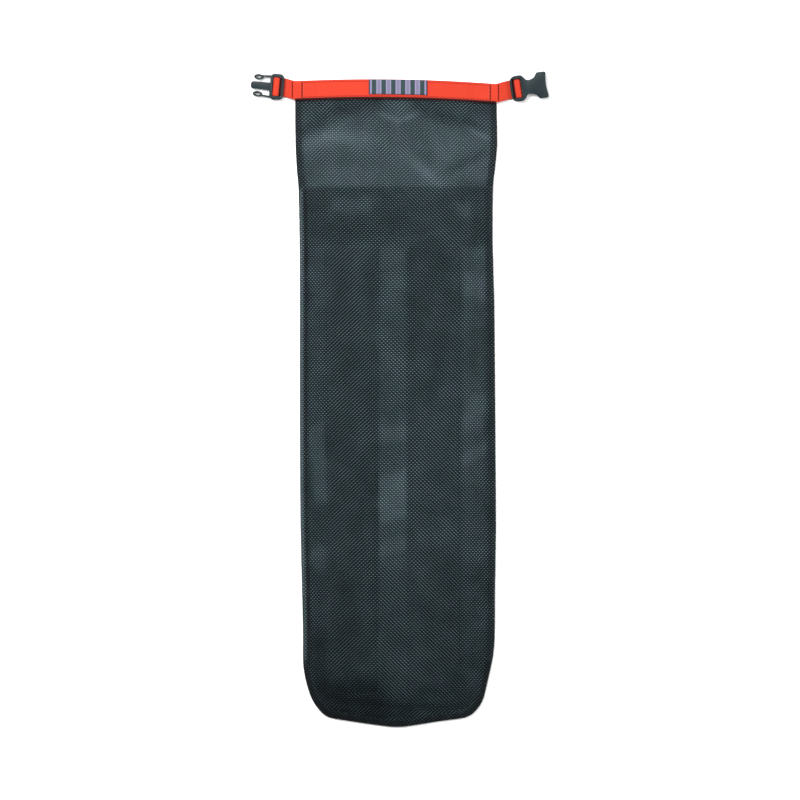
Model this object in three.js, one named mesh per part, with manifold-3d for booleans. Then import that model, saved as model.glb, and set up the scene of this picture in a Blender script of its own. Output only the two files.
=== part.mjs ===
// Paddle bag: a long, flat sack of coated mesh for a take-apart paddle, lying empty on its back.
// One length of webbing is sewn along the front of the mouth. Each of its ends is looped through a half
// of a side-release buckle and tucked back under itself.
// Inside hang a divider panel and two shaft sleeves.
// Units are millimetres, +Z is up, the floor is z = 0 and the mouth points towards +Y.
import * as THREE from "three";
import { mergeVertices } from "three/addons/utils/BufferGeometryUtils.js";
import Module from "manifold-3d";

const wasm = await Module();
wasm.setup();

// Cloth, tape and webbing
const MESH_WALL = 1.2;
const INNER_WALL = 1.0;
const TAPE_WALL = 1.0;
const WEBBING_WIDTH = 25;
const WEBBING_WALL = 1.3;
const LABEL_WALL = 0.6;
const LAYER_GAP = 0.3;

// The sack's plan, one row for each station from the mouth to the tip of the bottom
const OUTLINE = [
  { y: 431, left: -141.5, right: 130 },
  { y: 400, left: -141.8, right: 130.6 },
  { y: 345, left: -141.3, right: 131.4 },
  { y: 305, left: -139.1, right: 127.6 },
  { y: 285, left: -137.2, right: 125.6 },
  { y: 210, left: -135.7, right: 125.3 },
  { y: 130, left: -135.4, right: 127.5 },
  { y: 30, left: -135.4, right: 128.4 },
  { y: -70, left: -135.3, right: 129.1 },
  { y: -170, left: -134.5, right: 129.7 },
  { y: -250, left: -132.6, right: 128.5 },
  { y: -310, left: -131.2, right: 128.2 },
  { y: -337, left: -131.2, right: 126.9 },
  { y: -358, left: -130.9, right: 123.5 },
  { y: -378, left: -127.6, right: 118.9 },
  { y: -398, left: -121.6, right: 114.3 },
  { y: -410, left: -115.6, right: 109.9 },
  { y: -421, left: -107, right: 101.2 },
  { y: -427, left: -99.6, right: 93.6 },
  { y: -430, left: -89.5, right: 82.5 },
  { y: -434, left: -64, right: 51 },
  { y: -438, left: -37, right: 27 },
  { y: -441.5, left: -10, right: 4 },
];
const MOUTH = OUTLINE[0];
const CORNER_Y = -340;
const FIRST_CORNER_ROW = OUTLINE.findIndex((row) => row.y < CORNER_Y);

// How the front stands up: its height over the floor, the flat hem at its sides and the rise after that
const SWELL = [
  { y: 440, crown: 13, hem: 15, shoulder: 105 },
  { y: 395, crown: 13, hem: 15, shoulder: 105 },
  { y: 335, crown: 17, hem: 11, shoulder: 75 },
  { y: 250, crown: 24, hem: 8, shoulder: 42 },
  { y: 90, crown: 26, hem: 8, shoulder: 38 },
  { y: -110, crown: 24, hem: 8, shoulder: 44 },
  { y: -290, crown: 25.5, hem: 8, shoulder: 38 },
  { y: -450, crown: 22.5, hem: 8, shoulder: 46 },
];

// Soft folds and dents in the front: centre, half length, half width, direction from +X and height
const FOLDS = [
  { x: -72, y: 372, long: 52, wide: 15, turn: -24, height: -1.4 },
  { x: 42, y: 366, long: 56, wide: 16, turn: 28, height: -1.3 },
  { x: -10, y: 318, long: 80, wide: 26, turn: 4, height: 1.4 },
  { x: -62, y: 250, long: 70, wide: 22, turn: 64, height: -1.6 },
  { x: 58, y: 232, long: 74, wide: 22, turn: -66, height: -1.5 },
  { x: -6, y: -110, long: 130, wide: 20, turn: 86, height: -2 },
  { x: -60, y: -40, long: 150, wide: 24, turn: 88, height: 0.8 },
  { x: 46, y: -190, long: 140, wide: 24, turn: 94, height: 0.8 },
  { x: -40, y: -345, long: 60, wide: 22, turn: 22, height: -1.3 },
];

// The mouth sags towards both ends: its highest point, and the drop at a given distance from it
const SAG = { x: -40, drop: 2.1, distance: 100 };
const SAG_FADE = { from: 330, to: 395 };
const BAND_Y = 420.2;
const LABEL = { x: -2.5, width: 79, height: 20.2, rise: 2.1 };

// Seam tape between the panels, and the inner pieces
const SEAM = { outer: 0.8, inner: 8.4, join: 1.35 };
const DIVIDER = { top: 287, bottom: -430.5, inset: 9.1, rise: 24, height: 7.4 };
const SLEEVE = { top: 209, bottom: -396, hem: 5, rise: 14, height: 7, closing: 34 };
const SLEEVE_PLACES = {
  left_shaft_sleeve: { x: -64, width: 69 },
  right_shaft_sleeve: { x: 45, width: 71 },
};

// The webbing's loops: distances run outwards from the sack's edge, heights are those of its middle.
// The shift brings a loop and its buckle half off the band's line, towards +Y
const LEFT_END = { x: MOUTH.left, side: -1, reach: 15.8, turn: -5, shift: 2.5 };
const RIGHT_END = { x: MOUTH.right, side: 1, reach: 19.6, turn: 8.5, shift: 1.9 };
const TURN_FADE = 20;
const TUCK = 12;
const TUCK_RAMP = { from: 3, to: 16 };
const LOOP_FLAT = 1;
const LOOP_SPREAD = 0.35;
const UPPER_LAYER = 2.6;
const LOWER_LAYER = 0.9;
const OVER_BAR = 6.35;
const BEND_RADIUS = 1.6;
const SLOT_MIDDLE = 6.25;

// The buckle halves share a strap frame; distances run outwards from its end bar
const FRAME = { length: 18.8, width: 35, height: 7.6, corner: 6 };
const WINDOW = { from: 2.8, to: 15.5, width: 26.4 };
const END_BAR_UNDERSIDE = 3.65;
const CENTRE_BAR = { from: 7.5, to: 12, low: 2, high: 5.35 };
const TONGUE = { to: 44.5, width: 10, corner: 3.5, low: 2, high: 5.6 };
const ARM = { from: 16.8, to: 31, root: 13.8, tip: 13.3, thick: 2.2, low: 1.6, high: 5.6 };
const PRONG = { middle: 34.5, out: 11.5, long: 13.4, wide: 7.6, holeLong: 6.8, holeWide: 3.6 };
const SOCKET = { length: 50, height: 8.6, shoulder: 10, endWidth: 35.6, corner: 3, concave: 1.6 };
const WAIST = { from: 14.5, middle: 25, to: 32, width: 18.6, ease: 5, lip: 37.8 };
const CAVITY = { from: 21, width: 29, low: 1.9, high: 6.7 };
const CUT_MARGIN = 1;

// Facets: rows to each row of OUTLINE, columns across a piece, points on each bend
const PANEL_STEPS = { front: 2, back: 1 };
const PANEL_COLUMNS = { front: 22, back: 4 };
const COLUMN_CROWDING = 0.5;
const DIVIDER_GRID = { rows: 22, columns: 10 };
const SLEEVE_GRID = { rows: 16, columns: 8 };
const BAND_COLUMNS = 28;
const LABEL_COLUMNS = 6;
const EDGE_STEPS = 4;
const BEND_STEPS = 4;
const TURN_STEPS = 8;
const SLOPE_STEPS = 6;
const CURVE_STEPS = 6;
const HALVINGS = 30;
const MERGE_DISTANCE = 1e-4;

// Heights of the sewn layers at the hem; the tucked end of a loop lies between the hem and the band
const TAPE_LOW = MESH_WALL + LAYER_GAP;
const HEM_TOP = TAPE_LOW + TAPE_WALL + LAYER_GAP + MESH_WALL;
const TUCK_HEIGHT = HEM_TOP + LAYER_GAP + WEBBING_WALL / 2;
const BAND_EDGE_HEIGHT = TUCK_HEIGHT + WEBBING_WALL + LAYER_GAP;

const { clamp, degToRad, lerp, smoothstep } = THREE.MathUtils;

const leftEdge = new THREE.SplineCurve(OUTLINE.map((row) => new THREE.Vector2(row.left, row.y)));
const rightEdge = new THREE.SplineCurve(OUTLINE.map((row) => new THREE.Vector2(row.right, row.y)));
const OUTLINE_SPANS = OUTLINE.length - 1;

// The edge from the left end of the mouth, round the bottom, to the right end of the mouth
const edgeLoop = [
  ...leftEdge.getPoints(OUTLINE_SPANS * EDGE_STEPS),
  ...rightEdge.getPoints(OUTLINE_SPANS * EDGE_STEPS).reverse(),
];

function edgeDistance(x, y) {
  const point = new THREE.Vector3(x, y, 0);
  const segment = new THREE.Line3();
  const nearest = new THREE.Vector3();
  let least = Infinity;
  for (let i = 1; i < edgeLoop.length; i += 1) {
    segment.start.set(edgeLoop[i - 1].x, edgeLoop[i - 1].y, 0);
    segment.end.set(edgeLoop[i].x, edgeLoop[i].y, 0);
    segment.closestPointToPoint(point, true, nearest);
    least = Math.min(least, nearest.distanceTo(point));
  }
  return least;
}

// A value from a table whose rows fall in y
function fromTable(table, column, y) {
  const next = table.findIndex((row) => row.y <= y);
  if (next === 0) return table[0][column];
  if (next < 0) return table.at(-1)[column];
  const above = table[next - 1];
  const below = table[next];
  return lerp(below[column], above[column], smoothstep(y, below.y, above.y));
}

const mouthSag = (x) => -SAG.drop * ((x - SAG.x) / SAG.distance) ** 2;
const sagAt = (x, y) => mouthSag(x) * smoothstep(y, SAG_FADE.from, SAG_FADE.to);
const bandMiddle = (x) => BAND_Y + mouthSag(x);
const swell = (share) => Math.sin((Math.PI / 2) * clamp(share, 0, 1));

function foldHeight(x, y) {
  let height = 0;
  for (const fold of FOLDS) {
    const turn = degToRad(fold.turn);
    const along = (x - fold.x) * Math.cos(turn) + (y - fold.y) * Math.sin(turn);
    const across = (y - fold.y) * Math.cos(turn) - (x - fold.x) * Math.sin(turn);
    height += fold.height * Math.exp(-((along / fold.long) ** 2) - (across / fold.wide) ** 2);
  }
  return height;
}

function frontTop(x, y) {
  const inwards = edgeDistance(x, y) - fromTable(SWELL, "hem", y);
  const share = swell(inwards / fromTable(SWELL, "shoulder", y));
  return lerp(HEM_TOP, fromTable(SWELL, "crown", y), share) + foldHeight(x, y) * share;
}

function dividerTop(x, y) {
  const share = swell((edgeDistance(x, y) - DIVIDER.inset) / DIVIDER.rise);
  return lerp(TAPE_LOW + INNER_WALL, DIVIDER.height, share);
}

function indexedGeometry(positions, index) {
  const geometry = new THREE.BufferGeometry();
  geometry.setAttribute("position", new THREE.Float32BufferAttribute(positions, 3));
  geometry.setIndex(index);
  geometry.computeVertexNormals();
  return geometry;
}

// A closed sheet over a grid of { x, y, low, high }
function sheetSolid(grid) {
  const rows = grid.length;
  const columns = grid[0].length;
  const under = rows * columns;
  const top = grid.flat().flatMap(({ x, y, high }) => [x, y, high]);
  const bottom = grid.flat().flatMap(({ x, y, low }) => [x, y, low]);
  const index = [];
  const quad = (a, b, c, d) => index.push(a, b, c, a, c, d);
  const wall = (from, to) => quad(to, from, from + under, to + under);
  for (let r = 0; r + 1 < rows; r += 1) {
    for (let c = 0; c + 1 < columns; c += 1) {
      const corner = r * columns + c;
      quad(corner, corner + columns, corner + columns + 1, corner + 1);
      quad(under + corner, under + corner + 1, under + corner + columns + 1, under + corner + columns);
    }
    wall(r * columns, (r + 1) * columns);
    wall((r + 2) * columns - 1, (r + 1) * columns - 1);
  }
  for (let c = 0; c + 1 < columns; c += 1) {
    wall(under - columns + c, under - columns + c + 1);
    wall(c + 1, c);
  }
  return indexedGeometry([...top, ...bottom], index);
}

// Columns lie closer together near the sides, where the cloth bends most
const columnShare = (c, columns) => {
  const even = (2 * c) / columns - 1;
  return (1 + lerp(even, Math.sin((Math.PI / 2) * even), COLUMN_CROWDING)) / 2;
};

function panelGrid(steps, columns, layer) {
  const rows = OUTLINE_SPANS * steps;
  return Array.from({ length: rows + 1 }, (_, r) => {
    const left = leftEdge.getPoint(r / rows);
    const right = rightEdge.getPoint(r / rows);
    return Array.from({ length: columns + 1 }, (__, c) => {
      const x = lerp(left.x, right.x, columnShare(c, columns));
      return { x, y: left.y + sagAt(x, left.y), ...layer(x, left.y) };
    });
  });
}

function frontPanel() {
  const grid = panelGrid(PANEL_STEPS.front, PANEL_COLUMNS.front, (x, y) => {
    const high = frontTop(x, y);
    return { low: high - MESH_WALL, high };
  });
  return sheetSolid(grid);
}

function backPanel() {
  const flat = () => ({ low: 0, high: MESH_WALL });
  return sheetSolid(panelGrid(PANEL_STEPS.back, PANEL_COLUMNS.back, flat));
}

// Where the row at y comes within the inset of the edge, going out from the middle
function insetEdge(y, side, inset) {
  let inside = (leftEdge.points.at(-1).x + rightEdge.points.at(-1).x) / 2;
  let outside = side * Math.max(...OUTLINE.map((row) => Math.abs(row.left)));
  for (let halving = 0; halving < HALVINGS; halving += 1) {
    const middle = (inside + outside) / 2;
    const beyond = fromTable(OUTLINE, side < 0 ? "left" : "right", y) * side < middle * side;
    if (beyond || edgeDistance(middle, y) < inset) outside = middle;
    else inside = middle;
  }
  return inside;
}

function dividerPanel() {
  const { rows, columns } = DIVIDER_GRID;
  const grid = Array.from({ length: rows + 1 }, (_, r) => {
    const y = lerp(DIVIDER.top, DIVIDER.bottom, Math.sin((Math.PI / 2) * (r / rows)));
    const left = insetEdge(y, -1, DIVIDER.inset);
    const right = insetEdge(y, 1, DIVIDER.inset);
    return Array.from({ length: columns + 1 }, (__, c) => {
      const x = lerp(left, right, columnShare(c, columns));
      const high = dividerTop(x, y);
      return { x, y, low: high - INNER_WALL, high };
    });
  });
  return sheetSolid(grid);
}

function shaftSleeve({ x: middle, width }) {
  const { rows, columns } = SLEEVE_GRID;
  const grid = Array.from({ length: rows + 1 }, (_, r) => {
    const y = lerp(SLEEVE.top, SLEEVE.bottom, r / rows);
    const height = SLEEVE.height * smoothstep(y, SLEEVE.bottom, SLEEVE.bottom + SLEEVE.closing);
    return Array.from({ length: columns + 1 }, (__, c) => {
      const x = lerp(middle - width / 2, middle + width / 2, columnShare(c, columns));
      const inwards = width / 2 - Math.abs(x - middle) - SLEEVE.hem;
      const low = DIVIDER.height + LAYER_GAP + height * swell(inwards / SLEEVE.rise);
      return { x, y, low, high: low + INNER_WALL };
    });
  });
  return sheetSolid(grid);
}

// Seam tape along points of the edge loop, from the seam's outer inset to its inner one
function seamTape(points) {
  const grid = points.map((point, i) => {
    const before = points[Math.max(i - 1, 0)];
    const after = points[Math.min(i + 1, points.length - 1)];
    const along = after.clone().sub(before).normalize();
    return [SEAM.outer, SEAM.inner].map((inset) => {
      const x = point.x - along.y * inset;
      const y = point.y + along.x * inset;
      return { x, y: y + sagAt(x, y), low: TAPE_LOW, high: TAPE_LOW + TAPE_WALL };
    });
  });
  return sheetSolid(grid);
}

function seamRoutes() {
  const corner = FIRST_CORNER_ROW / OUTLINE_SPANS;
  const sideShares = Array.from({ length: FIRST_CORNER_ROW + 1 }, (_, r) => r / OUTLINE_SPANS);
  const cornerRows = (OUTLINE_SPANS - FIRST_CORNER_ROW) * PANEL_STEPS.front;
  const tipShares = Array.from({ length: cornerRows + 1 }, (_, r) => lerp(corner, 1, r / cornerRows));
  const left = sideShares.map((share) => leftEdge.getPoint(share));
  const right = sideShares.map((share) => rightEdge.getPoint(share)).reverse();
  const bottom = [
    ...tipShares.map((share) => leftEdge.getPoint(share)),
    ...tipShares.map((share) => rightEdge.getPoint(share)).reverse(),
  ];
  bottom[0].add(bottom[1].clone().sub(bottom[0]).setLength(SEAM.join));
  bottom.at(-1).add(bottom.at(-2).clone().sub(bottom.at(-1)).setLength(SEAM.join));
  return { left_side_seam: left, bottom_seam: bottom, right_side_seam: right };
}

// The band rides over the tucked end of each loop
function bandLow(x) {
  const inwards = Math.min(x - MOUTH.left, MOUTH.right - x);
  const overTuck = 1 - smoothstep(inwards, TUCK + TUCK_RAMP.from, TUCK + TUCK_RAMP.to);
  return frontTop(x, MOUTH.y) + LAYER_GAP + (WEBBING_WALL + LAYER_GAP) * overTuck;
}

// The middle line of a loop: out under the end bar, round the centre bar and back under itself
function loopLine(reach) {
  const line = [];
  const arc = (x, z, radius, from, to, steps) => {
    for (let i = 0; i <= steps; i += 1) {
      const angle = degToRad(lerp(from, to, i / steps));
      line.push(new THREE.Vector2(reach + x + radius * Math.cos(angle), z + radius * Math.sin(angle)));
    }
  };
  const slope = (share, edge, far) => lerp(edge, far, smoothstep(share, 0, 1));
  for (let i = 0; i <= SLOPE_STEPS; i += 1) {
    const share = i / SLOPE_STEPS;
    const height = slope(share, BAND_EDGE_HEIGHT, UPPER_LAYER);
    line.push(new THREE.Vector2(lerp(LOOP_FLAT, reach, share), height));
  }
  arc(SLOT_MIDDLE - BEND_RADIUS, UPPER_LAYER + BEND_RADIUS, BEND_RADIUS, -90, 0, BEND_STEPS);
  arc(SLOT_MIDDLE + BEND_RADIUS, OVER_BAR - BEND_RADIUS, BEND_RADIUS, 180, 90, BEND_STEPS);
  const turnRadius = (OVER_BAR - LOWER_LAYER) / 2;
  arc(CENTRE_BAR.to - LAYER_GAP, LOWER_LAYER + turnRadius, turnRadius, 90, -90, TURN_STEPS);
  for (let i = SLOPE_STEPS; i >= 0; i -= 1) {
    const share = i / SLOPE_STEPS;
    const spread = LOOP_SPREAD * Math.sin(Math.PI * share);
    const height = slope(share, TUCK_HEIGHT, LOWER_LAYER) - spread;
    line.push(new THREE.Vector2(lerp(LOOP_FLAT, reach, share), height));
  }
  return line;
}

// Stations of a loop, from the band to its tucked end: the webbing's middle and its turn in plan
function loopStations({ x, side, reach, turn, shift }) {
  const angle = degToRad(turn);
  const edge = new THREE.Vector3(x, bandMiddle(x), 0);
  const outwards = new THREE.Vector3(side * Math.cos(angle), side * Math.sin(angle), 0);
  const sideways = new THREE.Vector3(-Math.sin(angle), Math.cos(angle), 0);
  const stations = loopLine(reach).map(({ x: out, y: height }) => {
    const at = edge.clone().addScaledVector(outwards, out).setZ(height);
    return { at: at.addScaledVector(sideways, shift * smoothstep(out, 0, reach)), turn: angle };
  });
  const tuckX = x - side * TUCK;
  stations.push({ at: new THREE.Vector3(tuckX, bandMiddle(tuckX), TUCK_HEIGHT), turn: 0 });
  return stations;
}

function bandStations() {
  return Array.from({ length: BAND_COLUMNS + 1 }, (_, c) => {
    const x = lerp(LEFT_END.x, RIGHT_END.x, c / BAND_COLUMNS);
    const fromLeft = 1 - smoothstep(x - LEFT_END.x, 0, TURN_FADE);
    const fromRight = 1 - smoothstep(RIGHT_END.x - x, 0, TURN_FADE);
    const turn = LEFT_END.turn * fromLeft + RIGHT_END.turn * fromRight;
    const height = bandLow(x) + WEBBING_WALL / 2;
    return { at: new THREE.Vector3(x, bandMiddle(x), height), turn: degToRad(turn) };
  });
}

// A strip of webbing swept along its stations, with a rectangle of four corners at each
function sweptStrip(stations) {
  const corners = [[1, -1], [1, 1], [-1, 1], [-1, -1]];
  const ring = corners.length;
  const positions = stations.flatMap(({ at, turn }, i) => {
    const before = stations[Math.max(i - 1, 0)].at;
    const after = stations[Math.min(i + 1, stations.length - 1)].at;
    const across = new THREE.Vector3(-Math.sin(turn), Math.cos(turn), 0);
    const normal = after.clone().sub(before).cross(across).normalize();
    return corners.flatMap(([wide, thick]) => {
      const corner = at.clone().addScaledVector(across, (wide * WEBBING_WIDTH) / 2);
      return corner.addScaledVector(normal, (thick * WEBBING_WALL) / 2).toArray();
    });
  });
  const last = (stations.length - 1) * ring;
  const index = [0, 2, 1, 0, 3, 2, last, last + 1, last + 2, last, last + 2, last + 3];
  for (let from = 0; from < last; from += ring) {
    for (let c = 0; c < ring; c += 1) {
      const a = from + c;
      const b = from + ((c + 1) % ring);
      index.push(a, b, b + ring, a, b + ring, a + ring);
    }
  }
  return indexedGeometry(positions, index);
}

function mouthBand() {
  const left = loopStations(LEFT_END).reverse();
  return sweptStrip([...left, ...bandStations(), ...loopStations(RIGHT_END)]);
}

function labelPatch() {
  const from = LABEL.x - LABEL.width / 2;
  const grid = [LABEL.height / 2, -LABEL.height / 2].map((offset) =>
    Array.from({ length: LABEL_COLUMNS + 1 }, (_, c) => {
      const x = lerp(from, from + LABEL.width, c / LABEL_COLUMNS);
      const low = bandLow(x) + WEBBING_WALL + LAYER_GAP;
      return { x, y: bandMiddle(x) + LABEL.rise + offset, low, high: low + LABEL_WALL };
    }),
  );
  return sheetSolid(grid);
}

// Closed geometry to a solid for joining and cutting, and back
function toSolid(geometry) {
  const bare = geometry.clone();
  bare.deleteAttribute("normal");
  bare.deleteAttribute("uv");
  const merged = mergeVertices(bare, MERGE_DISTANCE);
  const vertProperties = new Float32Array(merged.getAttribute("position").array);
  const triVerts = new Uint32Array(merged.getIndex().array);
  return new wasm.Manifold(new wasm.Mesh({ numProp: 3, vertProperties, triVerts }));
}

function toGeometry(solid) {
  const { vertProperties, triVerts } = solid.getMesh();
  return indexedGeometry(Array.from(vertProperties), Array.from(triVerts));
}

function plate(shape, low, high) {
  const options = { depth: high - low, bevelEnabled: false, curveSegments: CURVE_STEPS };
  return toSolid(new THREE.ExtrudeGeometry(shape, options).translate(0, 0, low));
}

function block(from, to, width, low, high) {
  const geometry = new THREE.BoxGeometry(to - from, width, high - low);
  return toSolid(geometry.translate((from + to) / 2, 0, (low + high) / 2));
}

// A rectangle along +X with round corners
function roundedBar(from, to, width, corner) {
  const half = width / 2;
  const shape = new THREE.Shape();
  shape.moveTo(from + corner, -half);
  shape.lineTo(to - corner, -half);
  shape.absarc(to - corner, corner - half, corner, -Math.PI / 2, 0);
  shape.absarc(to - corner, half - corner, corner, 0, Math.PI / 2);
  shape.absarc(from + corner, half - corner, corner, Math.PI / 2, Math.PI);
  shape.absarc(from + corner, corner - half, corner, Math.PI, 1.5 * Math.PI);
  return shape;
}

// The frame that the webbing is threaded through: an end bar over it and a centre bar inside its loop
function cutStrapWindow(body) {
  const { from, to, width } = WINDOW;
  const windowed = body.subtract(block(from, to, width, -CUT_MARGIN, SOCKET.height + CUT_MARGIN));
  const underBar = block(-CUT_MARGIN, from + CUT_MARGIN, width, -CUT_MARGIN, END_BAR_UNDERSIDE);
  const barWidth = width + 2 * CUT_MARGIN;
  const bar = block(CENTRE_BAR.from, CENTRE_BAR.to, barWidth, CENTRE_BAR.low, CENTRE_BAR.high);
  return windowed.subtract(underBar).add(bar);
}

function prongArm(side) {
  const run = ARM.to - ARM.from;
  const turn = Math.atan2(side * (ARM.tip - ARM.root), run);
  const arm = toSolid(
    new THREE.BoxGeometry(Math.hypot(run, ARM.root - ARM.tip), ARM.thick, ARM.high - ARM.low)
      .rotateZ(turn)
      .translate(ARM.from + run / 2, (side * (ARM.root + ARM.tip)) / 2, (ARM.low + ARM.high) / 2),
  );
  const leaf = new THREE.Shape();
  leaf.absellipse(PRONG.middle, side * PRONG.out, PRONG.long / 2, PRONG.wide / 2, 0, 2 * Math.PI);
  const hole = new THREE.Path();
  hole.absellipse(PRONG.middle, side * PRONG.out, PRONG.holeLong / 2, PRONG.holeWide / 2, 0, 2 * Math.PI);
  leaf.holes.push(hole);
  return arm.add(plate(leaf, ARM.low, ARM.high));
}

// Both buckle halves are made pointing along +X
function maleBuckle() {
  const frame = plate(roundedBar(0, FRAME.length, FRAME.width, FRAME.corner), 0, FRAME.height);
  const tongueShape = roundedBar(FRAME.length - FRAME.corner, TONGUE.to, TONGUE.width, TONGUE.corner);
  const tongue = plate(tongueShape, TONGUE.low, TONGUE.high);
  const whole = frame.add(tongue).add(prongArm(1)).add(prongArm(-1));
  return toGeometry(cutStrapWindow(whole));
}

// One side of the socket half, from its end bar over the waist to the middle of its concave mouth
function femaleSide() {
  const { length, shoulder, endWidth, corner, concave } = SOCKET;
  const frame = FRAME.width / 2;
  const end = endWidth / 2;
  const narrow = WAIST.width / 2;
  const side = new THREE.Path();
  side.moveTo(0, frame - shoulder);
  side.quadraticCurveTo(0, frame, shoulder, frame);
  side.lineTo(WAIST.from, frame);
  const ease = { from: WAIST.from + WAIST.ease, to: WAIST.middle - WAIST.ease };
  side.bezierCurveTo(ease.from, frame, ease.to, narrow, WAIST.middle, narrow);
  side.quadraticCurveTo(WAIST.to, narrow, (WAIST.to + WAIST.lip) / 2, (narrow + end) / 2);
  side.lineTo(WAIST.lip, end);
  side.lineTo(length - corner, end);
  side.quadraticCurveTo(length, end, length, end - corner);
  side.quadraticCurveTo(length - concave, (end - corner) / 2, length - concave, 0);
  return side.getPoints(CURVE_STEPS);
}

function femaleBuckle() {
  const side = femaleSide();
  const otherSide = side.slice(0, -1).reverse().map((point) => new THREE.Vector2(point.x, -point.y));
  const body = plate(new THREE.Shape([...side, ...otherSide]), 0, SOCKET.height);
  const cavity = block(CAVITY.from, SOCKET.length + CUT_MARGIN, CAVITY.width, CAVITY.low, CAVITY.high);
  return toGeometry(cutStrapWindow(body.subtract(cavity)));
}

// Looks: plain colours for each kind of piece
const PALETTE = {
  mesh: { color: 0x343c40, roughness: 0.55 },
  inner: { color: 0x2b3235, roughness: 0.6 },
  tape: { color: 0x202427, roughness: 0.8 },
  webbing: { color: 0xf0452c, roughness: 0.7 },
  label: { color: 0x6c4f86, roughness: 0.75 },
  plastic: { color: 0x3e4448, roughness: 0.42 },
};

const bag = new THREE.Group();

function addPiece(name, geometry, palette, parent = bag) {
  const material = new THREE.MeshStandardMaterial({ ...PALETTE[palette], metalness: 0 });
  const mesh = new THREE.Mesh(geometry, material);
  mesh.name = name;
  parent.add(mesh);
}

// A buckle half sits in a group at the sack's edge, turned in plan with its loop
function addBuckle(name, geometry, { x, side, reach, turn, shift }) {
  const edge = new THREE.Group();
  edge.position.set(x, bandMiddle(x), 0);
  edge.rotation.z = degToRad(turn);
  const seat = new THREE.Group();
  seat.position.set(side * reach, shift, 0);
  seat.rotation.z = side < 0 ? Math.PI : 0;
  edge.add(seat);
  bag.add(edge);
  addPiece(name, geometry, "plastic", seat);
}

addPiece("front_panel", frontPanel(), "mesh");
addPiece("back_panel", backPanel(), "mesh");
addPiece("divider_panel", dividerPanel(), "inner");
for (const [name, place] of Object.entries(SLEEVE_PLACES)) addPiece(name, shaftSleeve(place), "inner");
for (const [name, points] of Object.entries(seamRoutes())) addPiece(name, seamTape(points), "tape");
addPiece("mouth_band", mouthBand(), "webbing");
addPiece("label_patch", labelPatch(), "label");
addBuckle("male_buckle", maleBuckle(), LEFT_END);
addBuckle("female_buckle", femaleBuckle(), RIGHT_END);

// The origin is on the floor, under the middle of the whole bag's box
const middle = new THREE.Box3().setFromObject(bag, true).getCenter(new THREE.Vector3());
bag.position.set(-middle.x, -middle.y, 0);

export default bag;
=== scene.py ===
import math

import bmesh
import bpy
import numpy as np
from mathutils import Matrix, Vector
from mathutils.bvhtree import BVHTree


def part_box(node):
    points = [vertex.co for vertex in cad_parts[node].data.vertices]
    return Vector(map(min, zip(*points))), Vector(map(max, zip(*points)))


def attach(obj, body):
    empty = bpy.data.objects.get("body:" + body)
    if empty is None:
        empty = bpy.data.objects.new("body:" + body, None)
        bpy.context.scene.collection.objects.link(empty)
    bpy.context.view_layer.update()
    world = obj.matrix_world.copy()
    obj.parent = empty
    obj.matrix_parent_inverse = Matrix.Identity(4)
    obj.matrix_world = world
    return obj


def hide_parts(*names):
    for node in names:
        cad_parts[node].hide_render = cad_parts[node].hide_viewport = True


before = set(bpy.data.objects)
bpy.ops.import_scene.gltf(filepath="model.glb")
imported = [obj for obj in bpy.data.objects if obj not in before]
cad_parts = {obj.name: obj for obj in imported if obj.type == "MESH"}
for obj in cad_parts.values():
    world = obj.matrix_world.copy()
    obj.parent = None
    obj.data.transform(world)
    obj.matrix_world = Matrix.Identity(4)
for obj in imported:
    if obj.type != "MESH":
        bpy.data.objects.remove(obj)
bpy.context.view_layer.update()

bl_info = {
    "name": "Mesh paddle bag",
    "version": (1, 0, 0),
    "blender": (4, 5, 0),
    "location": "View3D > Sidebar > Paddle bag",
    "description": "Woven cloth, webbing, buckle, label and studio for a flat mesh paddle bag",
    "category": "Add Mesh",
}

MM = 0.001
BODY = "root"

# Where the camera looks, and the middle and half width of the mouth
PHOTO_CENTRE = (0.35 * MM, -1.01 * MM)
MOUTH_MIDDLE = -5.4 * MM
MOUTH_HALF = 134.5 * MM

# Spacing of the grids that carry the woven cloth, how far inside an edge its height is taken, and how far
# the inner sheets' tops and every sheet's foot stay inside the CAD sheet
GUIDE_STEP = 2.5 * MM
EDGE_INSET = 0.15 * MM
TOP_INSET = 0.3 * MM
FOOT_INSET = 0.6 * MM

# Where the outer panels end below the edge of the mouth, and the stretch over which their rows bend to it
MOUTH_HEM = 4.0 * MM
MOUTH_START = 14.0 * MM
MOUTH_BEND = 40.0 * MM

# Each sheet's thickness in millimetres, how often its heights are smoothed, and how its weave lies on its
# cut: turn and skew in degrees, slide across and along in pitches. Where an inner weave lies half a pitch
# off the front's, the two show diagonal lines together
SHEETS = {
    "back_panel": {"thick": 1.2, "passes": 4, "bias": 3.4, "skew": 1.2, "slide": (0.0, 0.0)},
    "front_panel": {"thick": 1.2, "passes": 14, "bias": 0.3, "skew": -2.0, "slide": (0.0, 0.0)},
    "divider_panel": {"thick": 1.0, "passes": 6, "bias": 0.3, "skew": -1.5, "slide": (0.25, 0.0)},
    "left_shaft_sleeve": {"thick": 1.0, "passes": 6, "bias": 0.3, "skew": -1.75, "slide": (0.5, 0.75)},
    "right_shaft_sleeve": {"thick": 1.0, "passes": 6, "bias": 0.3, "skew": -1.75, "slide": (0.75, 0.25)},
}

# How strong the painted highlight is on the crowns of the lengthwise and of the crosswise yarns
WARP_HIGHLIGHT = 0.06
WEFT_HIGHLIGHT = 0.5

# Names of the maps and marks that the cloth and the webbing carry
FLAT_MAP = "flat"
BAKE_MAP = "OFBake"
YARN_MARKS = "yarn_marks"
SHADE = "shade"
LAY = "lay"
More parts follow.
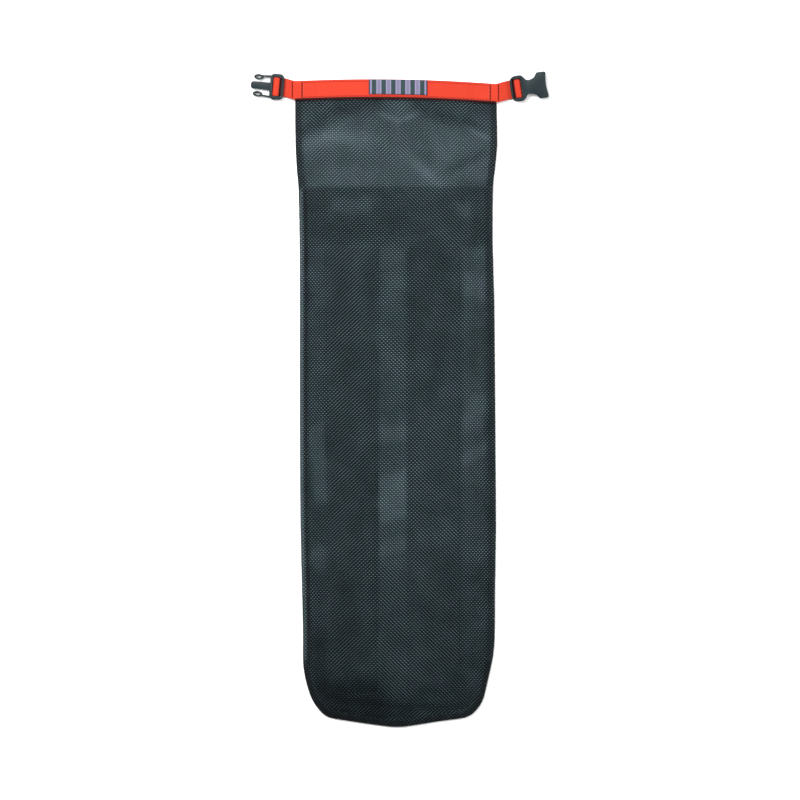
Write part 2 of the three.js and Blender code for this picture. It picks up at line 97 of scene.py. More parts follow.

# Creases in the neck under the band, in millimetres: from and to in plan, half width, height and brightness,
# painted as a highlight on ridges and as shade in valleys
NECK_CREASES = [
    {"start": (-134, 336), "end": (-90, 355), "wide": 12, "height": 3.4, "bright": 1.4},
    {"start": (-99, 355), "end": (-34, 348), "wide": 13, "height": 3.6, "bright": 1.45},
    {"start": (-136, 360), "end": (-80, 387), "wide": 10, "height": -3.6, "bright": 0.62},
    {"start": (-82, 386), "end": (-30, 399), "wide": 7, "height": -2.4, "bright": 0.68},
    {"start": (-30, 386), "end": (-1, 374), "wide": 4, "height": 1.4, "bright": 1.45},
    {"start": (-1, 374), "end": (26, 386), "wide": 4, "height": 1.4, "bright": 1.45},
    {"start": (10, 327), "end": (58, 286), "wide": 9, "height": 2.6, "bright": 1.5},
    {"start": (84, 371), "end": (119, 351), "wide": 4, "height": 2.2, "bright": 1.4},
    {"start": (52, 298), "end": (122, 334), "wide": 7, "height": -2.6, "bright": 0.8},
    {"start": (22, 390), "end": (118, 362), "wide": 8, "height": -2.6, "bright": 0.7},
    {"start": (98, 297), "end": (118, 297), "wide": 8, "height": 1.5, "bright": 1.2},
    {"start": (14, 210), "end": (66, 227), "wide": 5, "height": 0.8, "bright": 1.2},
]

# Share of a wave's half turn by which a crease is cut short at each end
CREASE_END = 0.14

# Patches of painted light and shade on the front's yarns, where they look paler or darker, in millimetres:
# stretch and softness across and along, painted brightness, and for a slanting patch how far its sides and
# its ends lean
FRONT_SHADES = [
    {"x": (-160, 150), "y": (287, 460), "soft": (4, 4), "bright": 1.22},
    {"x": (-160, 150), "y": (-460, 285), "soft": (4, 4), "bright": 0.88},
    {"x": (-160, -20), "y": (384, 460), "soft": (26, 26), "bright": 0.8},
    {"x": (20, 150), "y": (384, 460), "soft": (26, 26), "bright": 0.8},
    {"x": (46, 125), "y": (298, 365), "soft": (20, 20), "bright": 1.2},
    {"x": (52, 74), "y": (322, 344), "soft": (16, 16), "bright": 1.12},
    {"x": (-118, 40), "y": (289, 314), "soft": (16, 14), "bright": 1.1},
    {"x": (-130, -96), "y": (254, 285), "soft": (14, 8), "bright": 0.82},
    {"x": (-94, -32), "y": (249, 272), "soft": (24, 18), "bright": 1.42},
    {"x": (76, 98), "y": (246, 268), "soft": (18, 16), "bright": 1.45},
    {"x": (-160, 150), "y": (209, 284), "soft": (4, 8), "bright": 0.95},
    {"x": (-118, 114), "y": (221, 241), "soft": (16, 12), "bright": 0.87},
    {"x": (-86, -34), "y": (205, 213), "soft": (14, 6), "bright": 1.15},
    {"x": (-28, 9), "y": (-226, 206), "soft": (6, 20), "bright": 1.24},
    {"x": (-28, 9), "y": (176, 206), "soft": (8, 14), "bright": 1.1},
    {"x": (-18, 2), "y": (130, 168), "soft": (14, 18), "bright": 1.1},
    {"x": (-28, 9), "y": (-58, -36), "soft": (8, 16), "bright": 1.22},
    {"x": (-28, 9), "y": (-163, -99), "soft": (8, 16), "bright": 1.34, "lean": (0.0, -0.36)},
    {"x": (-28, 9), "y": (-210, -188), "soft": (8, 16), "bright": 1.22, "lean": (0.0, -0.3)},
    {"x": (-54, 28), "y": (-372, -225), "soft": (22, 30), "bright": 1.16},
    {"x": (-94, -64), "y": (-140, 190), "soft": (18, 30), "bright": 0.87},
    {"x": (-95, -33), "y": (-330, 205), "soft": (6, 8), "bright": 0.88},
    {"x": (-98, -50), "y": (-375, -100), "soft": (30, 40), "bright": 0.88},
    {"x": (12, 80), "y": (60, 205), "soft": (24, 40), "bright": 0.83},
    {"x": (34, 81), "y": (-372, -195), "soft": (18, 24), "bright": 0.88},
    {"x": (-35, -29.5), "y": (-330, -90), "soft": (3, 20), "bright": 0.8},
    {"x": (-122, -100), "y": (-35, 214), "soft": (10, 20), "bright": 1.2},
    {"x": (-120, -98), "y": (-142, -36), "soft": (12, 16), "bright": 1.5, "lean": (0.07, -0.2)},
    {"x": (-119, -97), "y": (-232, -198), "soft": (12, 16), "bright": 1.5, "lean": (0.1, 0.2)},
    {"x": (-118, -95), "y": (-302, -278), "soft": (12, 16), "bright": 1.34, "lean": (0.0, -0.3)},
    {"x": (-128, -60), "y": (-378, -308), "soft": (20, 24), "bright": 0.86},
    {"x": (84, 116), "y": (-345, 205), "soft": (8, 8), "bright": 1.26},
    {"x": (98, 117), "y": (172, 210), "soft": (12, 16), "bright": 1.2},
    {"x": (88, 117), "y": (134, 170), "soft": (14, 16), "bright": 1.32},
    {"x": (88, 117), "y": (-42, 8), "soft": (14, 14), "bright": 1.24, "lean": (-0.2, 0.0)},
    {"x": (84, 116), "y": (-84, -66), "soft": (10, 12), "bright": 1.28, "lean": (0.0, -0.37)},
    {"x": (84, 116), "y": (-324, -298), "soft": (12, 14), "bright": 1.2},
    {"x": (90, 108), "y": (-388, -366), "soft": (12, 12), "bright": 1.5},
    {"x": (-160, 150), "y": (-500, -240), "soft": (180, 180), "bright": 0.74},
    {"x": (-114, -18), "y": (-470, -378), "soft": (26, 24), "bright": 0.5},
    {"x": (-160, 150), "y": (-500, -412), "soft": (40, 40), "bright": 0.84},
]

# Strips of painted light and shade along the front's edges, in millimetres: side, stretch of the length,
# distances from the edge and painted brightness; and how soft their borders are
EDGE_SHADES = [
    {"side": "left", "y": (287, 460), "inset": (-5, 9.5), "bright": 0.52},
    {"side": "right", "y": (287, 460), "inset": (-5, 9), "bright": 0.52},
    {"side": "left", "y": (-360, 283), "inset": (-5, 5.0), "bright": 2.2},
    {"side": "left", "y": (-360, 283), "inset": (5.8, 11), "bright": 0.34},
    {"side": "right", "y": (-360, 283), "inset": (-5, 2.4), "bright": 1.05},
    {"side": "right", "y": (-360, 283), "inset": (2.8, 9.6), "bright": 0.62},
    {"side": "any", "y": (-470, -352), "inset": (-5, 8), "bright": 0.4},
]
STRIP_SOFT = 2.0

# The shadow under the webbing, in millimetres: its lower edge is highest at a given x and falls away to
# both sides
BAND_SHADOW = {"x": -39.6, "y": 406.7, "drop": 2.1e-4, "depth": 2.4, "soft": 2.4, "bright": 0.3}

# In millimetres, how far a patch's soft edge wanders at most, the softness up to which it stays straight
# and from which it wanders in full, and the waves that its sides and its ends follow
STRAY = 1.6
STRAIGHT_SOFT = 6.0
FULL_STRAY_SOFT = 16.0
SIDE_WAVES = [
    {"share": 1.0, "along": 9.0, "across": 23.0, "start": 0.0},
    {"share": 0.7, "along": 5.3, "across": -13.0, "start": 1.7},
]
END_WAVES = [
    {"share": 1.0, "along": 8.0, "across": 27.0, "start": 0.0},
    {"share": 0.7, "along": 4.7, "across": -15.0, "start": 0.6},
]

# The tape in the side seams and round the bottom, in millimetres: stretch of the length and distances from
# the edge; then the tapes' grids and their weave
SEAM_TAPE = [
    {"y": (426, 289), "inset": (0.2, 12.0)},
    {"y": (281, -340), "inset": (0.2, 8.6)},
]
BOTTOM_TAPE = {"y": -338, "inset": (0.2, 8.6)}
TAPE_STEP = 4.0
TAPE_COLUMNS = 4
TAPE_RIB = 1.4 * MM
TAPE_CORD = 1.1 * MM

# Points and smoothing of the bag's lower rim, and how far above the lowest point its two sides meet
RIM_POINTS = 240
RIM_PASSES = 2
RIM_END = 0.05 * MM

# The webbing's step along its length, and its section: place in half widths and rise in half thicknesses
WEBBING_STEP = 1.4 * MM
WEBBING_PROFILE = [
    (-1.0, 0.0), (-0.985, 0.55), (-0.93, 0.86), (-0.7, 0.98), (-0.35, 1.0), (0.0, 1.0),
    (0.35, 1.0), (0.7, 0.98), (0.93, 0.86), (0.985, 0.55), (1.0, 0.0),
]

# How far a buckle's end bar reaches over its webbing, and the height of its underside
BAR_REACH = 2.0 * MM
BAR_HEIGHT = 4.5 * MM

# The angle over which an edge of a CAD strip is a corner, and how far up a face has to point to lie on top
STRIP_CORNER = math.radians(60)
FACE_UP = 0.8

# Rows sewn across the webbing: place along the mouth in millimetres and side on which pale beads show, a
# painted highlight on the thread where it crosses; then their points, and the places of those beads and of
# the long rows, whose steps are in millimetres too
CROSS_ROWS = [
    {"x": -144.8, "knots": 0},
    {"x": -131.8, "knots": 1},
    {"x": 122.1, "knots": -1},
    {"x": 133.2, "knots": 0},
]
CROSS_POINTS = 9
GLINT_OFFSET = 1.7
EDGE_ROW_INSET = 2.8 * MM
HEM_ROW_OUT = 0.25 * MM
HEM_ROW_DROP = 0.4 * MM
ROW_STEP = 2.0

# Look of each kind of row: length of a step in stitches, share of it that shows, width in threads and
# colour; the thread glints are a painted highlight, and the hem stitches take the colour of the webbing's
# painted edge shade
STITCH_LOOKS = {
    "cross_stitches": {"pace": 0.7, "share": 1.15, "wide": 4.2, "colour": "thread"},
    "pale_knots": {"pace": 1.2, "share": 0.86, "wide": 1.0, "colour": "knot"},
    "edge_stitches": {"pace": 1.0, "share": 0.8, "wide": 2.0, "colour": "long_thread"},
    "hem_stitches": {"pace": 1.6, "share": 0.95, "wide": 6.4, "colour": "edge_shade"},
}
THREAD_RISE = 1.2
THREAD_TWIST = 0.5 * MM

# The patch: its grid, the roundness of its rim, its thickness, stripes, border and weave
LABEL_COLUMNS = 61
LABEL_ROWS = 19
LABEL_EDGE = 0.7 * MM
LABEL_ROUNDING = 0.3 * MM
LABEL_THICK = 0.6 * MM
LABEL_FIELD_HALF = (38.0 * MM, 9.6 * MM)
LABEL_PICK = 0.7 * MM
LABEL_END = 0.55 * MM
STRIPE_PITCH = 13.0 * MM
STRIPE_HALF = 0.22
LINE_PLACE = 0.31
LINE_HALF = 0.035

# The buckle's mouldings: facets that count as one face, edges that are rounded, and steps of the rounding
FACE_ANGLE = math.radians(3)
ROUNDED_ANGLE = math.radians(38)
ROUNDING_STEPS = 3

# The stage: half the floor's side, its drop below the bag, the camera's sensor and the lights
FLOOR_HALF = 12.0
FLOOR_DROP = 0.1 * MM
SENSOR = 36.0
LIGHTS = [
    {"name": "key_light", "place": (-1.1, 1.5, 2.1), "size": 1.8, "power": "key_power"},
    {"name": "fill_light", "place": (4.0, 0.6, 4.0), "size": 3.4, "power": "fill_power"},
]


def length_setting(name, description, default):
    return bpy.props.FloatProperty(name=name, description=description, default=default, unit="LENGTH")


def share_setting(name, description, default):
    return bpy.props.FloatProperty(name=name, description=description, default=default, subtype="FACTOR")


def power_setting(name, description, default):
    return bpy.props.FloatProperty(name=name, description=description, default=default, unit="POWER")


def colour_setting(name, description, default):
    """A colour from its red, green and blue"""
    return bpy.props.FloatVectorProperty(
        name=name, description=description, default=(*default, 1.0), subtype="COLOR", size=4
    )


class PaddleBagCloth(bpy.types.PropertyGroup):
    """Sizes and colours of the woven mesh"""

    warp_pitch: length_setting("Warp pitch", "Distance between the yarns that run along the bag", 2.6 * MM)
    weft_pitch: length_setting("Weft pitch", "Distance between the yarns that run across the bag", 2.5 * MM)
    yarn: length_setting("Yarn width", "Width of one coated yarn", 1.1 * MM)
    back_warp: length_setting(
        "Back warp width", "Width of one lengthwise yarn of the back, which is pressed flat", 1.5 * MM
    )
    back_weft: length_setting("Back weft width", "Width of one crosswise yarn of the back", 2.3 * MM)
    back_share: share_setting("Back shade", "How bright the back's crowns are beside the front's", 0.9)
    crimp: length_setting("Crimp", "Rise and fall of a yarn over and under those that cross it", 0.35 * MM)
    dark: colour_setting(
        "Dark yarn", "Coated yarn where it dips, and all along the warp", (0.0024, 0.0078, 0.0096)
    )
    # Light yarn: the colour of the painted highlight on the weft yarns' crowns
    light: colour_setting(
        "Light yarn", "Crowns of the weft yarns, where the coating is paler", (0.292, 0.395, 0.445)
    )
    inner_share: share_setting(
        "Inner shade", "How bright the divider and sleeves are beside the outer panels", 1.0
    )
    tape_colour: colour_setting(
        "Seam tape colour", "Folded tape in the side and bottom seams", (0.0065, 0.008, 0.0095)
    )


class PaddleBagWebbing(bpy.types.PropertyGroup):
    """Sizes and colours of the webbing and its thread"""

    thickness: length_setting("Webbing thickness", "Thickness of the webbing at its middle", 1.3 * MM)
    rib: length_setting("Rib width", "Width of one lengthwise rib of the weave", 1.6 * MM)
    colour: colour_setting("Webbing colour", "Bright face of the webbing", (0.45, 0.0280, 0.0076))
    shade: colour_setting("Webbing shade", "Hollows between the webbing's ribs", (0.307, 0.012, 0.004))
    # Edge shade: painted shade along the webbing's lower edge, where it turns from the light; the hem
    # stitches use it too
    edge_shade: colour_setting(
        "Selvedge colour", "Webbing at its lower edge, where it turns from the light", (0.035, 0.001, 0.001)
    )
    thread: colour_setting(
        "Thread colour", "Dark thread of the rows sewn across the webbing", (0.075, 0.0014, 0.0016)
    )
    long_thread: colour_setting(
        "Long row colour", "Red thread of the rows sewn along the webbing", (0.17, 0.005, 0.003)
    )
    # Glint colour: pale beads beside the inner cross rows, painted as the highlight on the thread where it
    # crosses
    knot: colour_setting(
        "Knot colour", "Pale thread that shows beside the inner cross rows", (0.42, 0.10, 0.08)
    )
    stitch: length_setting("Stitch length", "Length from one stitch to the next", 2.6 * MM)
    thread_width: length_setting("Thread width", "Thickness of the sewing thread", 0.55 * MM)


class PaddleBagLabel(bpy.types.PropertyGroup):
    """Colours of the striped patch"""

    field: colour_setting("Field", "Main colour of the patch", (0.150, 0.136, 0.222))
    stripe: colour_setting("Stripe", "Broad stripes of the patch", (0.009, 0.032, 0.036))
    edge: colour_setting("Edge", "Border of the patch", (0.022, 0.024, 0.056))


class PaddleBagBuckle(bpy.types.PropertyGroup):
    """Finish of the moulded buckle halves"""

    rounding: length_setting("Edge rounding", "Radius on the moulded edges", 0.5 * MM)
    colour: colour_setting("Plastic colour", "Satin moulded plastic", (0.0029, 0.0096, 0.0124))


class PaddleBagStage(bpy.types.PropertyGroup):
    """Floor, lights and camera"""

    height: length_setting("Camera height", "Height of the camera over the floor, with a long lens", 12.0)
    view_width: length_setting("View width", "Width of floor that the picture takes in", 1.08)
    floor_colour: colour_setting("Floor colour", "Plain pale floor", (0.92, 0.92, 0.92))
    key_power: power_setting("Key power", "Power of the soft light at the upper left", 150.0)
    fill_power: power_setting("Fill power", "Power of the soft light at the right", 240.0)
    sky: bpy.props.FloatProperty(
        name="Room brightness", description="Strength of the white room around the stage", default=0.39
    )


SETTINGS = {
    "paddle_bag_cloth": PaddleBagCloth,
    "paddle_bag_webbing": PaddleBagWebbing,
    "paddle_bag_label": PaddleBagLabel,
    "paddle_bag_buckle": PaddleBagBuckle,
    "paddle_bag_stage": PaddleBagStage,
}


class Wire:
    """A node's output, which Python arithmetic extends with Math nodes"""

    def __init__(self, socket):
        self.socket = socket

    @classmethod
    def node(cls, tree, kind, settings=None, inputs=None, output=0):
        """Adds a node: first its settings, then the values or wires of its inputs"""
        node = tree.nodes.new(kind)
        for name, value in (settings or {}).items():
            setattr(node, name, value)
        for key, value in (inputs or {}).items():
            if isinstance(value, Wire):
                tree.links.new(value.socket, node.inputs[key])
            else:
                node.inputs[key].default_value = value
        return cls(node.outputs[output])

    @property
    def tree(self):
        return self.socket.id_data

    def output(self, key):
        return Wire(self.socket.node.outputs[key])

    def parts(self):
        """The three wires of a vector"""
        split = Wire.node(self.tree, "ShaderNodeSeparateXYZ", inputs={0: self})
        return [split.output(axis) for axis in "XYZ"]

    def math(self, operation, *others):
        return self._math(operation, [self, *others])

    def _math(self, operation, values):
        return Wire.node(self.tree, "ShaderNodeMath", {"operation": operation}, dict(enumerate(values)))

    def __add__(self, other):
        return self._math("ADD", [self, other])

    def __sub__(self, other):
        return self._math("SUBTRACT", [self, other])

    def __mul__(self, other):
        return self._math("MULTIPLY", [self, other])

    def __truediv__(self, other):
        return self._math("DIVIDE", [self, other])

    def __radd__(self, other):
        return self._math("ADD", [other, self])

    def __rsub__(self, other):
        return self._math("SUBTRACT", [other, self])

    def __rmul__(self, other):
        return self._math("MULTIPLY", [other, self])

    def __rtruediv__(self, other):
        return self._math("DIVIDE", [other, self])

    def __pow__(self, other):
        return self._math("POWER", [self, other])

    def __rpow__(self, other):
        return self._math("POWER", [other, self])


class CadShape:
    """Heights and widths of a CAD node"""

    def __init__(self, node):
        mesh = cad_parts[node].data
        mesh.calc_loop_triangles()
        self.points = np.array([vertex.co for vertex in mesh.vertices])
        corners = np.array([triangle.vertices for triangle in mesh.loop_triangles])
        self.surface = BVHTree.FromPolygons(self.points.tolist(), corners.tolist())
        self.edges = np.concatenate([corners[:, [0, 1]], corners[:, [1, 2]], corners[:, [2, 0]]])

    def top(self, x, y):
        hit = self.surface.ray_cast(Vector((x, y, 1.0)), Vector((0.0, 0.0, -1.0)))[0]
        if hit is None:
            hit = self.surface.find_nearest(Vector((x, y, 0.0)))[0]
        return hit.z

    def span(self, place, axis=1):
        """Where the node starts and ends along a line at the given y, or at the given x for axis 0"""
        start, end = self.points[self.edges[:, 0]], self.points[self.edges[:, 1]]
        crosses = (start[:, axis] - place) * (end[:, axis] - place) <= 1e-12
        crosses &= np.abs(start[:, axis] - end[:, axis]) > 1e-9
        start, end = start[crosses], end[crosses]
        share = (place - start[:, axis]) / (end[:, axis] - start[:, axis])
        along = start[:, 1 - axis] + share * (end[:, 1 - axis] - start[:, 1 - axis])
        return along.min(), along.max()


def softened(values, passes):
    """A grid blurred along both ways, with its borders kept in step"""
    for _ in range(passes):
        for axis in (0, 1):
            padding = [(1, 1) if a == axis else (0, 0) for a in (0, 1)]
            padded = np.pad(values, padding, mode="edge")
            count = values.shape[axis]
            first, middle, last = (np.take(padded, range(k, k + count), axis) for k in range(3))
            values = (first + 2 * middle + last) / 4
    return values


def crease_mask(x, y, crease):
    """How much a crease counts at points given in millimetres"""
    start, end = (np.array(crease[key], dtype=float) for key in ("start", "end"))
    run = end - start
    near = np.clip(((x - start[0]) * run[0] + (y - start[1]) * run[1]) / (run @ run), 0, 1)
    gap = np.hypot(x - start[0] - near * run[0], y - start[1] - near * run[1])
    fade = np.sin(np.pi * (CREASE_END + (1 - 2 * CREASE_END) * near))
    return fade * np.exp(-((gap / crease["wide"]) ** 2))


def soft_step(value, edge, soft):
    """0 before the edge and 1 after it, with a smooth change"""
    share = np.clip((value - edge) / soft + 0.5, 0, 1)
    return share * share * (3 - 2 * share)


def within(value, limits, soft):
    return soft_step(value, limits[0], soft) * (1 - soft_step(value, limits[1], soft))


def drift(along, across, waves):
    """How far a patch's edge wanders, as a sum of waves"""
    total = 0.0
    for wave in waves:
        total += wave["share"] * np.sin(along / wave["along"] + across / wave["across"] + wave["start"])
    return total


def patch_mask(x, y, patch):
    """How much a patch counts; the softer one of its edges is, the more that edge wanders"""
    soft = np.array(patch["soft"])
    stray = np.clip((soft - STRAIGHT_SOFT) / (FULL_STRAY_SOFT - STRAIGHT_SOFT), 0, 1) * STRAY
    lean = patch.get("lean", (0.0, 0.0))
    middle = [sum(patch[key]) / 2 for key in ("x", "y")]
    slid_x = x + lean[0] * (y - middle[1]) + stray[0] * drift(y, x, SIDE_WAVES)
    slid_y = y + lean[1] * (x - middle[0]) + stray[1] * drift(x, y, END_WAVES)
    return within(slid_x, patch["x"], soft[0]) * within(slid_y, patch["y"], soft[1])


def faded(bright, mask):
    """A brightness in full where its mask is 1, and none of it where the mask is 0"""
    return 1 + (bright - 1) * mask


def front_shade(grid):
    """How bright the front's crowns are: painted light and shade in patches, along creases, under the
    webbing and by the edges
    """
    plan = grid[..., :2] / MM
    x, y = plan[..., 0], plan[..., 1]
    rim = np.concatenate([plan[:, 0], plan[:, -1], plan[-1]])
    to_rim = [[np.min(np.hypot(*(rim - point).T)) for point in row] for row in plan]
    insets = {"left": x - x[:, :1], "right": x[:, -1:] - x, "any": np.array(to_rim)}
    shade = np.ones_like(x)
    for patch in FRONT_SHADES:
        shade *= faded(patch["bright"], patch_mask(x, y, patch))
    for crease in NECK_CREASES:
        shade *= faded(crease["bright"], crease_mask(x, y, crease))
    edge = BAND_SHADOW["y"] - BAND_SHADOW["drop"] * (x - BAND_SHADOW["x"]) ** 2
    mask = soft_step(y, edge - BAND_SHADOW["depth"], BAND_SHADOW["soft"])
    shade *= faded(BAND_SHADOW["bright"], mask)
    for strip in EDGE_SHADES:
        mask = within(insets[strip["side"]], strip["inset"], STRIP_SOFT) * within(y, strip["y"], STRIP_SOFT)
        shade *= faded(strip["bright"], mask)
    return shade


def cloth_grid(node, at_mouth):
    """Points over a CAD sheet's middle, row by row from its upper end, where the mouth may bend the rows"""
    shape, sheet = CadShape(node), SHEETS[node]
    low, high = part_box(node)
    top = high.y - (MOUTH_START if at_mouth else TOP_INSET)
    bottom = low.y + FOOT_INSET
    heights = np.linspace(top, bottom, round((top - bottom) / GUIDE_STEP) + 1)
    spans = np.array([shape.span(y) for y in heights])
    left, right = spans[:, :1], spans[:, 1:]
    columns = round(np.max(right - left) / GUIDE_STEP) + 1
    x = left + (right - left) * np.linspace(0, 1, columns)
    y = np.repeat(heights[:, None], columns, axis=1)
    inside = np.clip(x, left + EDGE_INSET, right - EDGE_INSET)
    if at_mouth:
        ends = np.array([shape.span(place, axis=0)[1] for place in inside[0]]) - MOUTH_HEM
        y = y + (ends - top) * np.clip((y - top) / MOUTH_BEND + 1, 0, 1) ** 2
    z = np.array([shape.top(*spot) for spot in zip(inside.ravel(), y.ravel())]).reshape(x.shape)
    return np.stack([x, y, softened(z, sheet["passes"]) - sheet["thick"] * MM / 2], axis=-1)


def flat_layout(grid):
    """Each grid point on the flat cut: across from a straight middle line, along from the top"""
    middle = grid[-1, :, 0].mean()
    steps = np.linalg.norm(np.diff(grid, axis=1), axis=2)
    across = np.pad(np.cumsum(steps, axis=1), [(0, 0), (1, 0)])
    across = np.stack([line - np.interp(middle, row[:, 0], line) for line, row in zip(across, grid)])
    ridge = np.array([[np.interp(middle, row[:, 0], row[:, k]) for k in range(3)] for row in grid])
    along = -np.pad(np.cumsum(np.linalg.norm(np.diff(ridge, axis=0), axis=1)), (1, 0))
    return np.stack([across, np.repeat(along[:, None], grid.shape[1], axis=1)], axis=-1)


def grid_faces(rows, columns):
    corner = np.arange(rows * columns).reshape(rows, columns)
    around = [corner[:-1, :-1], corner[1:, :-1], corner[1:, 1:], corner[:-1, 1:]]
    return np.stack(around, axis=-1).reshape(-1, 4)


def placed(name, data):
    """A new object at the origin, in the scene"""
    piece = bpy.data.objects.new(name, data)
    bpy.context.scene.collection.objects.link(piece)
    return piece


def mesh_object(name, points, faces, material=None):
    mesh = bpy.data.meshes.new(name)
    mesh.from_pydata([tuple(p) for p in points], [], [tuple(f) for f in faces])
    mesh.shade_smooth()
    if material:
        mesh.materials.append(material)
    return placed(name, mesh)


def store(piece, name, kind, values):
    """Keeps a number or a vector at each of the piece's points"""
    attribute = piece.data.attributes.new(name, kind, "POINT")
    key = "vector" if kind == "FLOAT_VECTOR" else "value"
    attribute.data.foreach_set(key, np.ravel(values).astype(np.float32))


def keep_evaluated(piece):
    """Makes the piece's evaluated shape its plain mesh"""
    evaluated = piece.evaluated_get(bpy.context.evaluated_depsgraph_get())
    mesh = bpy.data.meshes.new_from_object(evaluated)
    mesh.name = piece.name
    piece.modifiers.clear()
    piece.data = mesh


def settle(piece, slot, *nodes):
    """Gives a piece its body and hides the CAD nodes that it stands for; its slot is not used"""
    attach(piece, BODY)
    if nodes:
        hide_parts(*nodes)


def set_inputs(modifier, values):
    """Sets a modifier's inputs, given by name, through their identifiers"""
    for socket in modifier.node_group.interface.items_tree:
        if socket.in_out == "INPUT" and socket.name in values:
            modifier[socket.identifier] = values[socket.name]


def geometry_tree(name, sizes):
    """A geometry tree with a named input for each size and the material; returns it with their wires"""
    tree = bpy.data.node_groups.new(name, "GeometryNodeTree")
    tree.is_modifier = True
    kinds = {"Geometry": "NodeSocketGeometry", **dict.fromkeys(sizes, "NodeSocketFloat")}
    kinds["Material"] = "NodeSocketMaterial"
    for label, kind in kinds.items():
        tree.interface.new_socket(label, in_out="INPUT", socket_type=kind)
    tree.interface.new_socket("Geometry", in_out="OUTPUT", socket_type="NodeSocketGeometry")
    source = tree.nodes.new("NodeGroupInput")
    return tree, {label: Wire(source.outputs[label]) for label in kinds}


def close_tree(tree, geometry, material):
    """Ends a geometry tree in realized instances with their material"""
    real = Wire.node(tree, "GeometryNodeRealizeInstances", inputs={0: geometry})
    shown = Wire.node(tree, "GeometryNodeSetMaterial", inputs={"Geometry": real, "Material": material})
    target = tree.nodes.new("NodeGroupOutput")
    tree.links.new(shown.socket, target.inputs[0])


def vector(tree, x=0.0, y=0.0, z=0.0):
    return Wire.node(tree, "ShaderNodeCombineXYZ", inputs={0: x, 1: y, 2: z})


def guide_value(tree, name, kind):
    return Wire.node(tree, "GeometryNodeInputNamedAttribute", {"data_type": kind}, {"Name": name})


def with_value(tree, geometry, name, kind, domain, value):
    return Wire.node(
        tree,
        "GeometryNodeStoreNamedAttribute",
        {"data_type": kind, "domain": domain},
        {"Geometry": geometry, "Name": name, "Value": value},
    )


def woven_yarns(tree, values, lengthwise):
    """One set of flat yarns, laid on the guide by its flat map"""
    pitch_x, pitch_y = values["Warp Pitch"], values["Weft Pitch"]
    yarn = values["Warp Yarn"] if lengthwise else values["Weft Yarn"]
    columns, rows = values["columns"], values["rows"]
    run_x, run_y = (columns - 1) * pitch_x, (rows - 1) * pitch_y
    first_x, first_y = run_x * -0.5, run_y * -0.5
    count = columns if lengthwise else rows
    start = vector(tree, x=first_x) if lengthwise else vector(tree, y=first_y)
    step = vector(tree, x=pitch_x) if lengthwise else vector(tree, y=pitch_y)
    line = Wire.node(
        tree,
        "GeometryNodeMeshLine",
        {"mode": "OFFSET"},
        {"Count": count, "Start Location": start, "Offset": step},
    )
    sizes = [yarn, run_y, 2, rows] if lengthwise else [run_x, yarn, columns, 2]
    ribbon = Wire.node(tree, "GeometryNodeMeshGrid", inputs=dict(enumerate(sizes)))
    laid = Wire.node(tree, "GeometryNodeInstanceOnPoints", inputs={"Points": line, "Instance": ribbon})
    flat = Wire.node(tree, "GeometryNodeRealizeInstances", inputs={0: laid})

    place = Wire.node(tree, "GeometryNodeInputPosition")
    x, y, _ = place.parts()
    column = ((x - first_x) / pitch_x).math("ROUND")
    row = ((y - first_y) / pitch_y).math("ROUND")
    parity = 1 - 2 * (column + row).math("MODULO", 2.0)
    rise = parity * (1.0 if lengthwise else -1.0)
    lift = rise * values["Crimp"]
    # The tone mark is a painted highlight on the crowns, strong on the weft and faint on the warp
    level = WARP_HIGHLIGHT if lengthwise else WEFT_HIGHLIGHT
    tone = level + level * rise
    side = (x - first_x - column * pitch_x) if lengthwise else (y - first_y - row * pitch_y)
    across = side / yarn * 2

    bias, slid = values["Bias"], x - values["Slide Across"]
    skewed = y - values["Slide Along"] + slid * values["Skew"]
    turned_x = slid * bias.math("COSINE") - skewed * bias.math("SINE")
    turned_y = slid * bias.math("SINE") + skewed * bias.math("COSINE")
    cut_x, cut_y = turned_x / values["Cut Width"] + 0.5, turned_y / values["Cut Length"] + 0.5
    spot_map = vector(tree, cut_x, cut_y)
    bake_map = vector(tree, cut_x * 0.5 + (0.0 if lengthwise else 0.5), cut_y)
    flat_map = guide_value(tree, FLAT_MAP, "FLOAT_VECTOR")

    def sampled(value, kind="FLOAT_VECTOR"):
        return Wire.node(
            tree,
            "GeometryNodeSampleUVSurface",
            {"data_type": kind},
            {"Mesh": values["Geometry"], "Value": value, "UV Map": flat_map, "Sample UV": spot_map},
        )

    position = sampled(place)
    normal = sampled(Wire.node(tree, "GeometryNodeInputNormal"))
    marks = vector(tree, across, tone, sampled(guide_value(tree, SHADE, "FLOAT"), "FLOAT"))
    outside = Wire.node(
        tree, "FunctionNodeBooleanMath", {"operation": "NOT"}, {0: position.output("Is Valid")}
    )
    cut = Wire.node(
        tree,
        "GeometryNodeDeleteGeometry",
        {"domain": "POINT"},
        {"Geometry": flat, "Selection": outside},
    )
    marked = with_value(tree, cut, YARN_MARKS, "FLOAT_VECTOR", "POINT", marks)
    mapped = with_value(tree, marked, BAKE_MAP, "FLOAT2", "CORNER", bake_map)
    raised = Wire.node(
        tree, "ShaderNodeVectorMath", {"operation": "SCALE"}, {0: normal, "Scale": lift}
    )
    target = Wire.node(tree, "ShaderNodeVectorMath", {"operation": "ADD"}, {0: position, 1: raised})
    return Wire.node(
        tree, "GeometryNodeSetPosition", inputs={"Geometry": mapped, "Position": target}
    )


